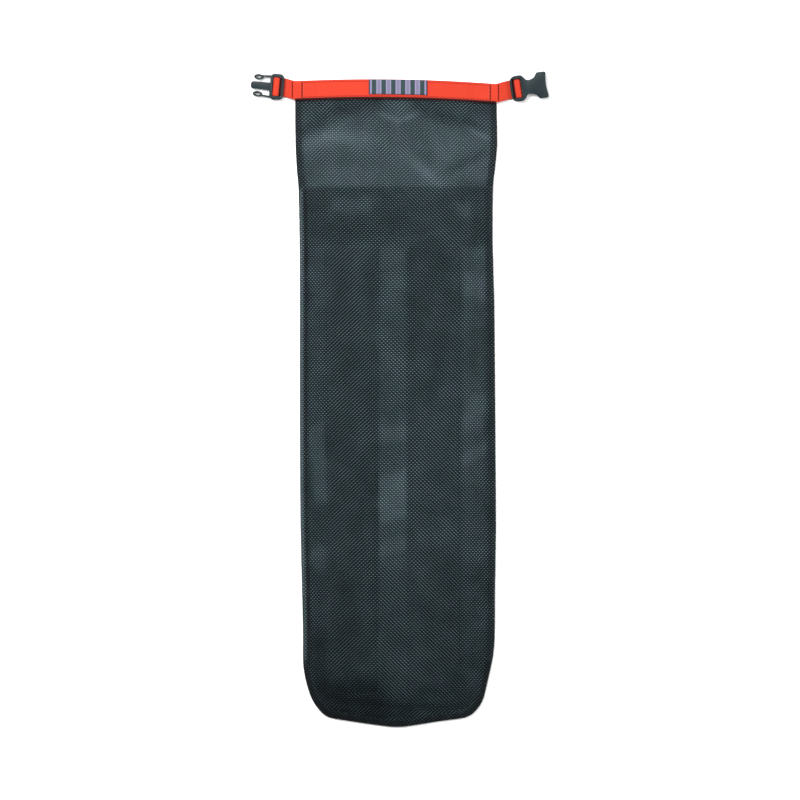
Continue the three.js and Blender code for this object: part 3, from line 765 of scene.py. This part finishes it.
def woven_cloth_tree():
    """Weaves flat yarns over a guide whose flat map says where each spot of the cut goes"""
    cut = ["Cut Width", "Cut Length", "Bias", "Skew", "Slide Across", "Slide Along"]
    weave = ["Warp Pitch", "Weft Pitch", "Warp Yarn", "Weft Yarn", "Crimp"]
    tree, values = geometry_tree("Woven cloth", cut + weave)
    slant = values["Bias"].math("ABSOLUTE") + values["Skew"].math("ABSOLUTE")
    spare = (values["Cut Width"] + values["Cut Length"]) * slant
    values["columns"] = ((values["Cut Width"] + spare) / values["Warp Pitch"] + 1).math("CEIL")
    values["rows"] = ((values["Cut Length"] + spare) / values["Weft Pitch"] + 1).math("CEIL")
    warp = woven_yarns(tree, values, True)
    weft = woven_yarns(tree, values, False)
    joined = tree.nodes.new("GeometryNodeJoinGeometry")
    for yarns in (weft, warp):
        tree.links.new(yarns.socket, joined.inputs[0])
    smooth = Wire.node(tree, "GeometryNodeSetShadeSmooth", inputs={"Geometry": Wire(joined.outputs[0])})
    close_tree(tree, smooth, values["Material"])
    return tree


def stitch_tree():
    """Lays thread stitches end to end along each line of a wire mesh"""
    tree, values = geometry_tree("Stitch rows", ["Stitch", "Width", "Height", "Share"])
    curve = Wire.node(tree, "GeometryNodeMeshToCurve", inputs={"Mesh": values["Geometry"]})
    spots = Wire.node(
        tree,
        "GeometryNodeCurveToPoints",
        {"mode": "LENGTH"},
        {"Curve": curve, "Length": values["Stitch"]},
    )
    turn = Wire.node(
        tree,
        "FunctionNodeAlignRotationToVector",
        {"axis": "X"},
        {"Vector": spots.output("Tangent")},
    )
    bead = Wire.node(
        tree, "GeometryNodeMeshUVSphere", inputs={"Segments": 6, "Rings": 5, "Radius": 0.5}
    )
    size = vector(tree, values["Stitch"] * values["Share"], values["Width"], values["Height"])
    thread = Wire.node(tree, "GeometryNodeTransform", inputs={"Geometry": bead, "Scale": size})
    rows = Wire.node(
        tree,
        "GeometryNodeInstanceOnPoints",
        inputs={"Points": spots, "Instance": thread, "Rotation": turn},
    )
    close_tree(tree, rows, values["Material"])
    return tree


def new_material(name):
    """A new node material; returns it with its tree and its Principled shader"""
    material = bpy.data.materials.new(name)
    material.use_nodes = True
    return material, material.node_tree, material.node_tree.nodes["Principled BSDF"]


def feed(shader, **wires):
    """Links wires or sets constants on the shader's sockets, by name with _ for a space"""
    for label, value in wires.items():
        socket = shader.inputs[label.replace("_", " ")]
        if isinstance(value, Wire):
            shader.id_data.links.new(value.socket, socket)
        else:
            socket.default_value = value


def noise(tree, coordinates, scale, detail=2.0):
    return Wire.node(
        tree, "ShaderNodeTexNoise", inputs={"Vector": coordinates, "Scale": scale, "Detail": detail}
    )


def mixed(tree, factor, first, second):
    return Wire.node(
        tree, "ShaderNodeMix", {"data_type": "RGBA"}, {0: factor, 6: first, 7: second}, output=2
    )


def bump(tree, height, strength, distance):
    return Wire.node(
        tree, "ShaderNodeBump", inputs={"Strength": strength, "Distance": distance, "Height": height}
    )


def edge_ramp(distance, start, soft):
    """0 up to a start and 1 after the soft stretch that follows it"""
    return ((distance - start) / soft).math("MAXIMUM", 0.0).math("MINIMUM", 1.0)


def object_place(tree):
    return Wire.node(tree, "ShaderNodeTexCoord", output="Object")


def surface_mark(tree, name):
    return Wire.node(tree, "ShaderNodeAttribute", {"attribute_name": name}, output="Vector")


def ripple(place, pitch):
    """A wave from -1 to 1 with the given pitch"""
    return (place * (2 * math.pi / pitch)).math("SINE")


def shaded(colour, factor):
    return tuple(channel * factor for channel in colour[:3]) + (1.0,)


def toned(colour, factors):
    return tuple(channel * factor for channel, factor in zip(colour, factors)) + (1.0,)


def coated_yarn(name, dark, light):
    """Coated yarn: dark where it dips, with a painted highlight on its crowns and painted light and shade
    from its shade mark; round across its width
    """
    material, tree, shader = new_material(name)
    place = object_place(tree)
    across, crown, shade = surface_mark(tree, YARN_MARKS).parts()
    patches = noise(tree, place, scale=30.0)
    grain = noise(tree, place, scale=900.0)
    sheen = edge_ramp(noise(tree, place, scale=48.0), start=0.36, soft=0.28)
    greener, bluer = toned(light, (0.96, 1.02, 0.955)), toned(light, (1.045, 0.97, 1.035))
    # Painted shade: where the shade mark is below 1, the dark colour drops towards black
    painted_shade_dark = mixed(tree, shade.math("MINIMUM", 1.0), shaded(dark, 0.1), dark)
    # How far the painted light and shade of the shade mark lift or lower the crowns' highlight
    strength = (0.7 + 0.3 * shade).math("MINIMUM", shade)
    worn = 0.02 + 0.65 * patches + 0.17 * grain
    # Painted highlight on the crowns, darker towards the yarn's sides, varied at random in patches and grain
    paler = crown ** 3.0 * strength * worn * (1 - 0.4 * across * across)
    # Painted light: where the shade mark is above 1, the whole yarn gets paler
    paler = paler + 0.13 * (shade - 1).math("MAXIMUM", 0.0)
    feed(
        shader,
        Base_Color=mixed(tree, paler.math("MINIMUM", 1.0), painted_shade_dark, mixed(tree, sheen, greener, bluer)),
        Roughness=0.36 + 0.16 * grain,
        Normal=bump(tree, 1 - across * across + grain * 0.12, strength=0.7, distance=0.3 * MM),
        Specular_IOR_Level=0.06,
    )
    return material


def seam_tape(colour):
    """Black folded tape with a fine cross rib"""
    material, tree, shader = new_material("seam_tape")
    place = object_place(tree)
    x, y, _ = place.parts()
    weave = ripple(y, TAPE_RIB) * ripple(x, TAPE_CORD) * 0.5 + 0.5
    patches = noise(tree, place, scale=60.0)
    feed(
        shader,
        Base_Color=mixed(tree, weave * 0.6 + patches * 0.4, shaded(colour, 0.6), shaded(colour, 1.6)),
        Roughness=0.7 + 0.15 * patches,
        Normal=bump(tree, weave, strength=0.5, distance=0.25 * MM),
        Specular_IOR_Level=0.3,
    )
    return material


def ribbed_webbing(looks, width):
    """Ribbed webbing: humps of yarn along each rib, offset from rib to rib, and painted shade in its
    hollows, along its edges and where it stands up or dives under an end bar
    """
    material, tree, shader = new_material("red_webbing")
    along, side, lit = surface_mark(tree, LAY).parts()
    across = side / looks.rib
    rib = across.math("FLOOR")
    beside = across - rib
    hump = (along / (looks.rib * 0.8) + rib.math("MODULO", 2.0) * 0.5).math("FRACT")
    crown = 4 * beside * (1 - beside)
    swell = 4 * hump * (1 - hump)
    height = crown * (0.45 + 0.55 * swell)
    place = object_place(tree)
    patches = noise(tree, place, scale=45.0)
    fibres = noise(tree, place, scale=2600.0)
    # Painted shade in the hollows between the ribs, with random patches and fibres
    tone = (0.35 + 0.55 * height + 0.25 * (patches - 0.5) + 0.2 * (fibres - 0.5)).math("MAXIMUM", 0.0)
    face = mixed(tree, tone.math("MINIMUM", 1.0), tuple(looks.shade), tuple(looks.colour))
    # Painted shade along the lower edge over the sack, where the webbing turns from the light, and a little
    # along the upper edge
    low = edge_ramp(side * -1, start=width / 2 - 1.7 * MM, soft=0.6 * MM)
    high = edge_ramp(side, start=width / 2 - 1.6 * MM, soft=1.2 * MM)
    # Painted shade where the webbing stands up or lies under an end bar
    unlit = 1 - edge_ramp(lit, start=0.1, soft=0.75)
    aside = (place.parts()[0] - MOUTH_MIDDLE).math("ABSOLUTE")
    over_sack = 1 - edge_ramp(aside, start=MOUTH_HALF, soft=2.0 * MM)
    painted_shade = low * over_sack + high * 0.25 + unlit
    feed(
        shader,
        Base_Color=mixed(tree, painted_shade.math("MINIMUM", 1.0), face, tuple(looks.edge_shade)),
        Roughness=0.62 + 0.2 * fibres,
        Normal=bump(tree, height + 0.15 * fibres, strength=0.55, distance=0.3 * MM),
        Sheen_Weight=0.1,
        Specular_IOR_Level=0.2,
    )
    return material


def sewing_thread(name, colour):
    """Twisted thread"""
    material, tree, shader = new_material(name)
    place = object_place(tree)
    x, y, _ = place.parts()
    twist = ripple(x + y, THREAD_TWIST) * 0.5 + 0.5
    fibres = noise(tree, place, scale=1800.0)
    feed(
        shader,
        Base_Color=mixed(tree, 0.6 * twist + 0.4 * fibres, shaded(colour, 0.6), shaded(colour, 1.5)),
        Roughness=0.5 + 0.2 * fibres,
        Normal=bump(tree, twist, strength=0.4, distance=0.1 * MM),
        Specular_IOR_Level=0.1,
    )
    return material


def striped_patch(looks):
    """Woven patch with upright stripes, a thin line at each side of a stripe, and a border"""
    material, tree, shader = new_material("striped_patch")
    x, y, _ = surface_mark(tree, LAY).parts()
    broad = ((x / STRIPE_PITCH).math("FRACT") - 0.5).math("ABSOLUTE")
    stripe = broad.math("LESS_THAN", STRIPE_HALF)
    line = (broad - LINE_PLACE).math("ABSOLUTE").math("LESS_THAN", LINE_HALF)
    inside_x, inside_y = (
        place.math("ABSOLUTE").math("LESS_THAN", half) for place, half in zip((x, y), LABEL_FIELD_HALF)
    )
    fibres = noise(tree, object_place(tree), scale=1500.0)
    picks, ends = (ripple(*wave) * 0.5 + 0.5 for wave in ((y, LABEL_PICK), (x, LABEL_END)))
    field = mixed(tree, stripe, tuple(looks.field), tuple(looks.stripe))
    lined = mixed(tree, line, field, shaded(looks.field, 1.55))
    bordered = mixed(tree, 1 - inside_x * inside_y, lined, tuple(looks.edge))
    feed(
        shader,
        Base_Color=mixed(tree, 0.2 * picks + 0.25 * fibres, bordered, (0.0, 0.0, 0.0, 1.0)),
        Roughness=0.55 + 0.2 * fibres,
        Normal=bump(tree, picks * ends, strength=0.5, distance=0.15 * MM),
        Specular_IOR_Level=0.3,
    )
    return material


def satin_plastic(looks):
    """Moulded plastic: fine spark texture, paler where it is handled"""
    material, tree, shader = new_material("satin_plastic")
    place = object_place(tree)
    spark = noise(tree, place, scale=1400.0, detail=3.0)
    handled = noise(tree, place, scale=120.0, detail=4.0)
    feed(
        shader,
        Base_Color=mixed(tree, handled, shaded(looks.colour, 0.8), shaded(looks.colour, 1.3)),
        Roughness=0.34 + 0.18 * handled + 0.08 * spark,
        Normal=bump(tree, spark, strength=0.18, distance=0.12 * MM),
        Specular_IOR_Level=0.25,
    )
    return material


def pale_floor(colour):
    """Matt floor that hardly varies"""
    material, tree, shader = new_material("pale_floor")
    patches = noise(tree, object_place(tree), scale=3.0)
    feed(
        shader,
        Base_Color=mixed(tree, patches, shaded(colour, 0.995), tuple(colour)),
        Roughness=0.9 + 0.05 * patches,
        Specular_IOR_Level=0.1,
    )
    return material


def woven_sheet(node, slot, grid, shade, yarns, cloth, material):
    """Weaves a sheet over a grid with a painted brightness at each point, laid out by its flat cut"""
    flat = flat_layout(grid)
    low, high = flat.min(axis=(0, 1)), flat.max(axis=(0, 1))
    size = high - low
    piece = mesh_object(node + "_cloth", grid.reshape(-1, 3), grid_faces(*grid.shape[:2]))
    corners = np.zeros(len(piece.data.loops), dtype=np.int32)
    piece.data.loops.foreach_get("vertex_index", corners)
    spots = ((flat - low) / size).reshape(-1, 2)[corners]
    layer = piece.data.uv_layers.new(name=FLAT_MAP)
    layer.data.foreach_set("uv", spots.ravel().astype(np.float32))
    store(piece, SHADE, "FLOAT", shade)
    modifier = piece.modifiers.new("Weave", "NODES")
    modifier.node_group = bpy.data.node_groups.get("Woven cloth") or woven_cloth_tree()
    lie = SHEETS[node]
    set_inputs(
        modifier,
        {
            "Cut Width": float(size[0]),
            "Cut Length": float(size[1]),
            "Bias": math.radians(lie["bias"]),
            "Skew": math.tan(math.radians(lie["skew"])),
            "Slide Across": cloth.warp_pitch * lie["slide"][0],
            "Slide Along": cloth.weft_pitch * lie["slide"][1],
            "Warp Pitch": cloth.warp_pitch,
            "Weft Pitch": cloth.weft_pitch,
            "Warp Yarn": yarns[0],
            "Weft Yarn": yarns[1],
            "Crimp": cloth.crimp,
            "Material": material,
        },
    )
    keep_evaluated(piece)
    settle(piece, slot, node)


class PADDLEBAG_OT_panels(bpy.types.Operator):
    """Weave the front and back panels of the sack"""

    bl_idname = "paddle_bag.panels"
    bl_label = "Woven panels"

    def execute(self, context):
        cloth = context.scene.paddle_bag_cloth
        material = coated_yarn("outer_mesh", tuple(cloth.dark), tuple(cloth.light))
        grid = cloth_grid("back_panel", at_mouth=True)
        shade = np.full(grid.shape[:2], cloth.back_share)
        woven_sheet("back_panel", "mesh", grid, shade, (cloth.back_warp, cloth.back_weft), cloth, material)
        grid = cloth_grid("front_panel", at_mouth=True)
        lowest = grid[..., 2].min()
        for crease in NECK_CREASES:
            mask = crease_mask(grid[..., 0] / MM, grid[..., 1] / MM, crease)
            grid[..., 2] = np.maximum(grid[..., 2] + crease["height"] * MM * mask, lowest)
        yarns, under = (cloth.yarn, cloth.yarn), ["back_panel_cloth"]
        woven_sheet("front_panel", "mesh", grid, front_shade(grid), yarns, cloth, material)
        return {"FINISHED"}


class PADDLEBAG_OT_inner(bpy.types.Operator):
    """Weave the divider and the two shaft sleeves inside the sack"""

    bl_idname = "paddle_bag.inner"
    bl_label = "Divider and sleeves"

    def execute(self, context):
        cloth = context.scene.paddle_bag_cloth
        inner = [shaded(colour, cloth.inner_share) for colour in (cloth.dark, cloth.light)]
        material = coated_yarn("inner_mesh", *inner)
        yarns, under = (cloth.yarn, cloth.yarn), ["back_panel_cloth"]
        for node in ("divider_panel", "left_shaft_sleeve", "right_shaft_sleeve"):
            grid = cloth_grid(node, at_mouth=False)
            woven_sheet(node, "inner_mesh", grid, np.ones(grid.shape[:2]), yarns, cloth, material)
        return {"FINISHED"}


def merged_copy(node):
    """A CAD node's triangles with their shared corners joined"""
    shell = bmesh.new()
    shell.from_mesh(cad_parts[node].data)
    bmesh.ops.remove_doubles(shell, verts=shell.verts[:], dist=0.001 * MM)
    return shell


def strip_rings(node):
    """The four corners of each station along a CAD strip, from one end to the other"""
    shell = merged_copy(node)
    sharp = {edge for edge in shell.edges if edge.calc_face_angle() > STRIP_CORNER}

    def beside(vertex):
        return [edge.other_vert(vertex) for edge in vertex.link_edges if edge in sharp]

    corners = [vertex for vertex in shell.verts if len(beside(vertex)) == 3]
    first = min(corners, key=lambda vertex: vertex.co.x)
    left, right = (vertex for vertex in beside(first) if vertex in corners)
    opposite = next(vertex for vertex in beside(left) if vertex in beside(right) and vertex is not first)
    lines = []
    for corner in (first, left, opposite, right):
        line = [corner, next(vertex for vertex in beside(corner) if vertex not in corners)]
        while line[-1] not in corners:
            line.append(next(vertex for vertex in beside(line[-1]) if vertex is not line[-2]))
        lines.append([tuple(vertex.co) for vertex in line])
    shell.free()
    return np.array(lines).transpose(1, 0, 2)


class Strip:
    """A smooth strip along the stations of a CAD strip, with its middle, width and face directions"""

    def __init__(self, node, step):
        rings = strip_rings(node)
        if np.linalg.norm(rings[0, 1] - rings[0, 0]) < np.linalg.norm(rings[0, 2] - rings[0, 1]):
            rings = np.roll(rings, -1, axis=1)
        middle = rings.mean(axis=1)
        wide = (rings[:, 0] + rings[:, 3] - rings[:, 1] - rings[:, 2]) / 2
        thick = (rings[:, 0] + rings[:, 1] - rings[:, 2] - rings[:, 3]) / 2
        length = np.pad(np.cumsum(np.linalg.norm(np.diff(middle, axis=0), axis=1)), (1, 0))
        self.width = float(np.linalg.norm(wide, axis=1).mean())
        self.along = np.linspace(0, length[-1], round(length[-1] / step) + 1)
        self.middle = self._resampled(length, middle)
        self.wide = self._unit(self._resampled(length, wide))
        self.face = self._unit(self._resampled(length, thick))
        top = np.argmax(self.middle[:, 2])
        if self.face[top, 2] < 0:
            self.face = -self.face
        if self.wide[top, 1] < 0:
            self.wide = -self.wide

    def _resampled(self, length, values):
        return np.stack([np.interp(self.along, length, values[:, k]) for k in range(3)], axis=1)

    @staticmethod
    def _unit(vectors):
        return vectors / np.linalg.norm(vectors, axis=1, keepdims=True)

    def top_at(self, x, across, lift):
        """A point over the mouth, at the given x, distance from the middle line and height over it"""
        points = (self.middle + self.wide * across + self.face * lift)[self.over_mouth()]
        return np.array([np.interp(x, points[:, 0], points[:, k]) for k in range(3)])

    def lit(self):
        """1 where the strip lies flat in the open, 0 where it stands up or dives under an end bar"""
        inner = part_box("male_buckle")[1].x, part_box("female_buckle")[0].x
        x, height = self.middle[:, 0], self.middle[:, 2]
        sheltered = ((x < inner[0] - BAR_REACH) | (x > inner[1] + BAR_REACH)) & (height < BAR_HEIGHT)
        return np.where(sheltered, 0.0, np.abs(self.face[:, 2]))

    def over_mouth(self):
        """The run of stations on the upper layer between the two buckles"""
        upward = np.nonzero(self.face[:, 2] > FACE_UP)[0]
        runs = np.split(upward, np.nonzero(np.diff(upward) > 1)[0] + 1)
        return max(runs, key=len)


def webbing_mesh(name, strip, thickness, material):
    """Closed webbing with soft edges along a strip; it keeps its lay along and across, and its light"""
    upper = np.array(WEBBING_PROFILE)
    lower = upper[-2:0:-1] * (1, -1)
    profile = np.concatenate([upper, lower])
    across, rise = profile[:, 0] * strip.width / 2, profile[:, 1] * thickness / 2
    points = (
        strip.middle[:, None]
        + strip.wide[:, None] * across[None, :, None]
        + strip.face[:, None] * rise[None, :, None]
    )
    stations, ring = points.shape[:2]
    corner = np.arange(stations * ring).reshape(stations, ring)
    onward = np.roll(corner, -1, axis=1)
    sides = np.stack([corner[:-1], corner[1:], onward[1:], onward[:-1]], axis=-1).reshape(-1, 4)
    faces = [*sides, corner[0], corner[-1][::-1]]
    piece = mesh_object(name, points.reshape(-1, 3), faces, material)
    along, lit = (np.repeat(values[:, None], ring, 1) for values in (strip.along, strip.lit()))
    store(piece, LAY, "FLOAT_VECTOR", np.stack([along, np.tile(across, (stations, 1)), lit], axis=-1))
    outward(piece)
    return piece


def stitch_rows(name, lines, sizes, material):
    """Thread along lines of points: one bead of thread for each stitch"""
    edges, first = [], 0
    for line in lines:
        edges += [(first + i, first + i + 1) for i in range(len(line) - 1)]
        first += len(line)
    mesh = bpy.data.meshes.new(name)
    mesh.from_pydata([tuple(point) for line in lines for point in line], edges, [])
    piece = placed(name, mesh)
    modifier = piece.modifiers.new("Stitches", "NODES")
    modifier.node_group = bpy.data.node_groups.get("Stitch rows") or stitch_tree()
    set_inputs(modifier, {**sizes, "Material": material})
    keep_evaluated(piece)
    piece.data.shade_smooth()
    return piece


class PADDLEBAG_OT_webbing(bpy.types.Operator):
    """Build the webbing along the mouth, its loops and its stitch rows"""

    bl_idname = "paddle_bag.webbing"
    bl_label = "Webbing and stitches"

    def execute(self, context):
        looks = context.scene.paddle_bag_webbing
        strip = Strip("mouth_band", WEBBING_STEP)
        piece = webbing_mesh("mouth_webbing", strip, looks.thickness, ribbed_webbing(looks, strip.width))
        settle(piece, "webbing", "mouth_band")
        reach, lift = strip.width / 2 - EDGE_ROW_INSET, looks.thickness / 2

        def across(x):
            return [strip.top_at(x * MM, share * reach, lift) for share in np.linspace(-1, 1, CROSS_POINTS)]

        glinting = [row for row in CROSS_ROWS if row["knots"]]
        inner = [row["x"] for row in glinting]
        steps = np.arange(min(inner), max(inner) + ROW_STEP, ROW_STEP)
        hem_side = -strip.width / 2 - HEM_ROW_OUT
        hem_steps = np.arange(MOUTH_MIDDLE - MOUTH_HALF, MOUTH_MIDDLE + MOUTH_HALF, ROW_STEP * MM)
        lines = {
            "cross_stitches": [across(row["x"]) for row in CROSS_ROWS],
            "pale_knots": [across(row["x"] + row["knots"] * GLINT_OFFSET) for row in glinting],
            "edge_stitches": [[strip.top_at(x * MM, side * reach, lift) for x in steps] for side in (-1, 1)],
            "hem_stitches": [[strip.top_at(x, hem_side, -HEM_ROW_DROP) for x in hem_steps]],
        }
        for name, look in STITCH_LOOKS.items():
            sizes = {
                "Stitch": looks.stitch * look["pace"],
                "Share": look["share"],
                "Width": looks.thread_width * look["wide"],
                "Height": looks.thread_width * THREAD_RISE,
            }
            material = sewing_thread(name + "_thread", tuple(getattr(looks, look["colour"])))
            settle(stitch_rows(name, lines[name], sizes, material), "webbing")
        return {"FINISHED"}


class PADDLEBAG_OT_label(bpy.types.Operator):
    """Build the striped patch on the webbing"""

    bl_idname = "paddle_bag.label"
    bl_label = "Striped patch"

    def execute(self, context):
        low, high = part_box("label_patch")
        shape = CadShape("label_patch")
        columns = np.linspace(low.x, high.x, LABEL_COLUMNS)
        front, back = np.array([shape.span(x, axis=0) for x in columns]).T
        middle = (front + back) / 2
        inside = np.clip(columns, low.x + EDGE_INSET, high.x - EDGE_INSET)
        height = [shape.top(*spot) for spot in zip(inside, middle)]
        x, height = (np.tile(values, (LABEL_ROWS, 1)) for values in (columns, height))
        y = front + (back - front) * np.linspace(0, 1, LABEL_ROWS)[:, None]
        rim = np.min([x - low.x, high.x - x, y - front, back - y], axis=0)
        soft = np.sqrt(1 - (1 - np.clip(rim / LABEL_EDGE, 0, 1)) ** 2)
        top = np.stack([x, y, height - LABEL_ROUNDING * (1 - soft)], axis=-1)
        bottom = np.stack([x, y, height - LABEL_THICK], axis=-1)
        piece = closed_sheet("label_cloth", top, bottom, striped_patch(context.scene.paddle_bag_label))
        lay = np.stack([x - (low.x + high.x) / 2, y - middle, np.zeros_like(x)], axis=-1)
        store(piece, LAY, "FLOAT_VECTOR", [lay, lay])
        settle(piece, "label", "label_patch")
        return {"FINISHED"}


def bottom_rim(shape, start):
    """Evenly spaced points along a sheet's rim below a given y, from the left side to the right"""
    heights = np.linspace(start, shape.points[:, 1].min() + RIM_END, RIM_POINTS)
    spans = np.array([shape.span(y) for y in heights])
    left, right = (np.stack([side, heights], axis=1) for side in spans.T)
    line = np.concatenate([left, right[::-1]])
    length = np.pad(np.cumsum(np.linalg.norm(np.diff(line, axis=0), axis=1)), (1, 0))
    steps = np.linspace(0, length[-1], round(length[-1] / (TAPE_STEP * MM)) + 1)
    rim = np.stack([np.interp(steps, length, line[:, k]) for k in (0, 1)], axis=1)
    for _ in range(RIM_PASSES):
        rim[1:-1] = (rim[:-2] + 2 * rim[1:-1] + rim[2:]) / 4
    return rim


def closed_sheet(name, top, bottom, material):
    """A closed sheet between two grids of points"""
    rows, columns = top.shape[:2]
    count = rows * columns
    corner = np.arange(count).reshape(rows, columns)
    upper = grid_faces(rows, columns)
    rim = np.concatenate([corner[0, :-1], corner[:-1, -1], corner[-1, :0:-1], corner[:0:-1, 0]])
    onward = np.roll(rim, -1)
    walls = np.stack([rim, onward, onward + count, rim + count], axis=-1)
    faces = np.concatenate([upper, upper[:, ::-1] + count, walls])
    piece = mesh_object(name, np.concatenate([top, bottom]).reshape(-1, 3), faces, material)
    outward(piece)
    return piece


def outward(piece):
    """Turns a closed piece's faces outwards"""
    shell = bmesh.new()
    shell.from_mesh(piece.data)
    bmesh.ops.recalc_face_normals(shell, faces=shell.faces[:])
    shell.to_mesh(piece.data)
    shell.free()


def rounded_copy(node, name, rounding, material):
    """A CAD node's merged copy with rounded edges"""
    shell = merged_copy(node)
    bmesh.ops.dissolve_limit(shell, angle_limit=FACE_ANGLE, verts=shell.verts[:], edges=shell.edges[:])
    mesh = bpy.data.meshes.new(name)
    shell.to_mesh(mesh)
    shell.free()
    mesh.materials.append(material)
    mesh.shade_smooth()
    piece = placed(name, mesh)
    bevel = piece.modifiers.new("Rounding", "BEVEL")
    bevel.width = rounding
    bevel.segments = ROUNDING_STEPS
    bevel.limit_method = "ANGLE"
    bevel.angle_limit = ROUNDED_ANGLE
    bevel.use_clamp_overlap = True
    bevel.harden_normals = True
    keep_evaluated(piece)
    return piece


class PADDLEBAG_OT_seams(bpy.types.Operator):
    """Build the folded seam tape between the panels"""

    bl_idname = "paddle_bag.seams"
    bl_label = "Seam tape"

    def execute(self, context):
        material = seam_tape(context.scene.paddle_bag_cloth.tape_colour)
        front = CadShape("front_panel")
        for node, side in (("left_side_seam", 1), ("right_side_seam", -1)):
            rows = []
            for stretch in SEAM_TAPE:
                insets = np.linspace(*stretch["inset"], TAPE_COLUMNS) * MM * side
                for y in np.arange(*stretch["y"], -TAPE_STEP) * MM:
                    edge = front.span(y)[0 if side > 0 else 1]
                    rows.append([(edge + inset, y) for inset in insets])
            self.tape(node, np.array(rows), material)
        rim = bottom_rim(front, BOTTOM_TAPE["y"] * MM)
        inward = np.stack([-np.gradient(rim[:, 1]), np.gradient(rim[:, 0])], axis=1)
        inward /= np.linalg.norm(inward, axis=1, keepdims=True)
        insets = np.linspace(*BOTTOM_TAPE["inset"], TAPE_COLUMNS) * MM
        self.tape("bottom_seam", rim[:, None] + inward[:, None] * insets[None, :, None], material)
        return {"FINISHED"}

    @staticmethod
    def tape(node, plan, material):
        """A tape over a grid of places in plan, as high and as thick as its CAD node"""
        low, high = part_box(node)
        top, bottom = (np.insert(plan, 2, height, axis=-1) for height in (high.z, low.z))
        settle(closed_sheet(node + "_tape", top, bottom, material), "seam_tape", node)


class PADDLEBAG_OT_buckle(bpy.types.Operator):
    """Build the two moulded halves of the buckle"""

    bl_idname = "paddle_bag.buckle"
    bl_label = "Buckle halves"

    def execute(self, context):
        looks = context.scene.paddle_bag_buckle
        material = satin_plastic(looks)
        for node in ("male_buckle", "female_buckle"):
            piece = rounded_copy(node, node + "_moulding", looks.rounding, material)
            settle(piece, "buckle_plastic", node)
        return {"FINISHED"}


class PADDLEBAG_OT_stage(bpy.types.Operator):
    """Set the pale floor, the soft lights and the camera straight above"""

    bl_idname = "paddle_bag.stage"
    bl_label = "Studio"

    def execute(self, context):
        scene = context.scene
        stage = scene.paddle_bag_stage
        corners = [(-1, -1), (1, -1), (1, 1), (-1, 1)]
        points = [(x * FLOOR_HALF, y * FLOOR_HALF, -FLOOR_DROP) for x, y in corners]
        mesh_object("floor", points, [(0, 1, 2, 3)], pale_floor(stage.floor_colour))
        for light in LIGHTS:
            lamp = bpy.data.lights.new(light["name"], "AREA")
            lamp.size = light["size"]
            lamp.energy = getattr(stage, light["power"])
            holder = placed(light["name"], lamp)
            holder.location = light["place"]
            holder.rotation_euler = (-Vector(light["place"])).to_track_quat("-Z", "Y").to_euler()
        world = bpy.data.worlds.new("white_room")
        world.use_nodes = True
        room = world.node_tree.nodes["Background"]
        room.inputs["Color"].default_value = (1.0, 1.0, 1.0, 1.0)
        room.inputs["Strength"].default_value = stage.sky
        scene.world = world
        scene.view_settings.view_transform = "Standard"
        camera = bpy.data.cameras.new("camera")
        camera.sensor_width = SENSOR
        camera.lens = SENSOR * stage.height / stage.view_width
        scene.camera = placed("camera", camera)
        scene.camera.location = (*PHOTO_CENTRE, stage.height)
        return {"FINISHED"}


OPERATORS = (
    PADDLEBAG_OT_stage,
    PADDLEBAG_OT_panels,
    PADDLEBAG_OT_inner,
    PADDLEBAG_OT_seams,
    PADDLEBAG_OT_webbing,
    PADDLEBAG_OT_label,
    PADDLEBAG_OT_buckle,
)


class PADDLEBAG_PT_sidebar(bpy.types.Panel):
    """Lists the pieces of the bag and their settings"""

    bl_idname = "PADDLEBAG_PT_sidebar"
    bl_label = "Paddle bag"
    bl_space_type = "VIEW_3D"
    bl_region_type = "UI"
    bl_category = "Paddle bag"

    def draw(self, context):
        for operator in OPERATORS:
            self.layout.operator(operator.bl_idname)
        for name, group in SETTINGS.items():
            box = self.layout.box()
            for label in group.__annotations__:
                box.prop(getattr(context.scene, name), label)


def register():
    for name, group in SETTINGS.items():
        bpy.utils.register_class(group)
        setattr(bpy.types.Scene, name, bpy.props.PointerProperty(type=group))
    for operator in OPERATORS:
        bpy.utils.register_class(operator)
    bpy.utils.register_class(PADDLEBAG_PT_sidebar)


def unregister():
    bpy.utils.unregister_class(PADDLEBAG_PT_sidebar)
    for operator in reversed(OPERATORS):
        bpy.utils.unregister_class(operator)
    for name, group in SETTINGS.items():
        delattr(bpy.types.Scene, name)
        bpy.utils.unregister_class(group)


def main():
    register()
    for operator in OPERATORS:
        group, action = operator.bl_idname.split(".")
        getattr(getattr(bpy.ops, group), action)()


if __name__ == "__main__":
    main()
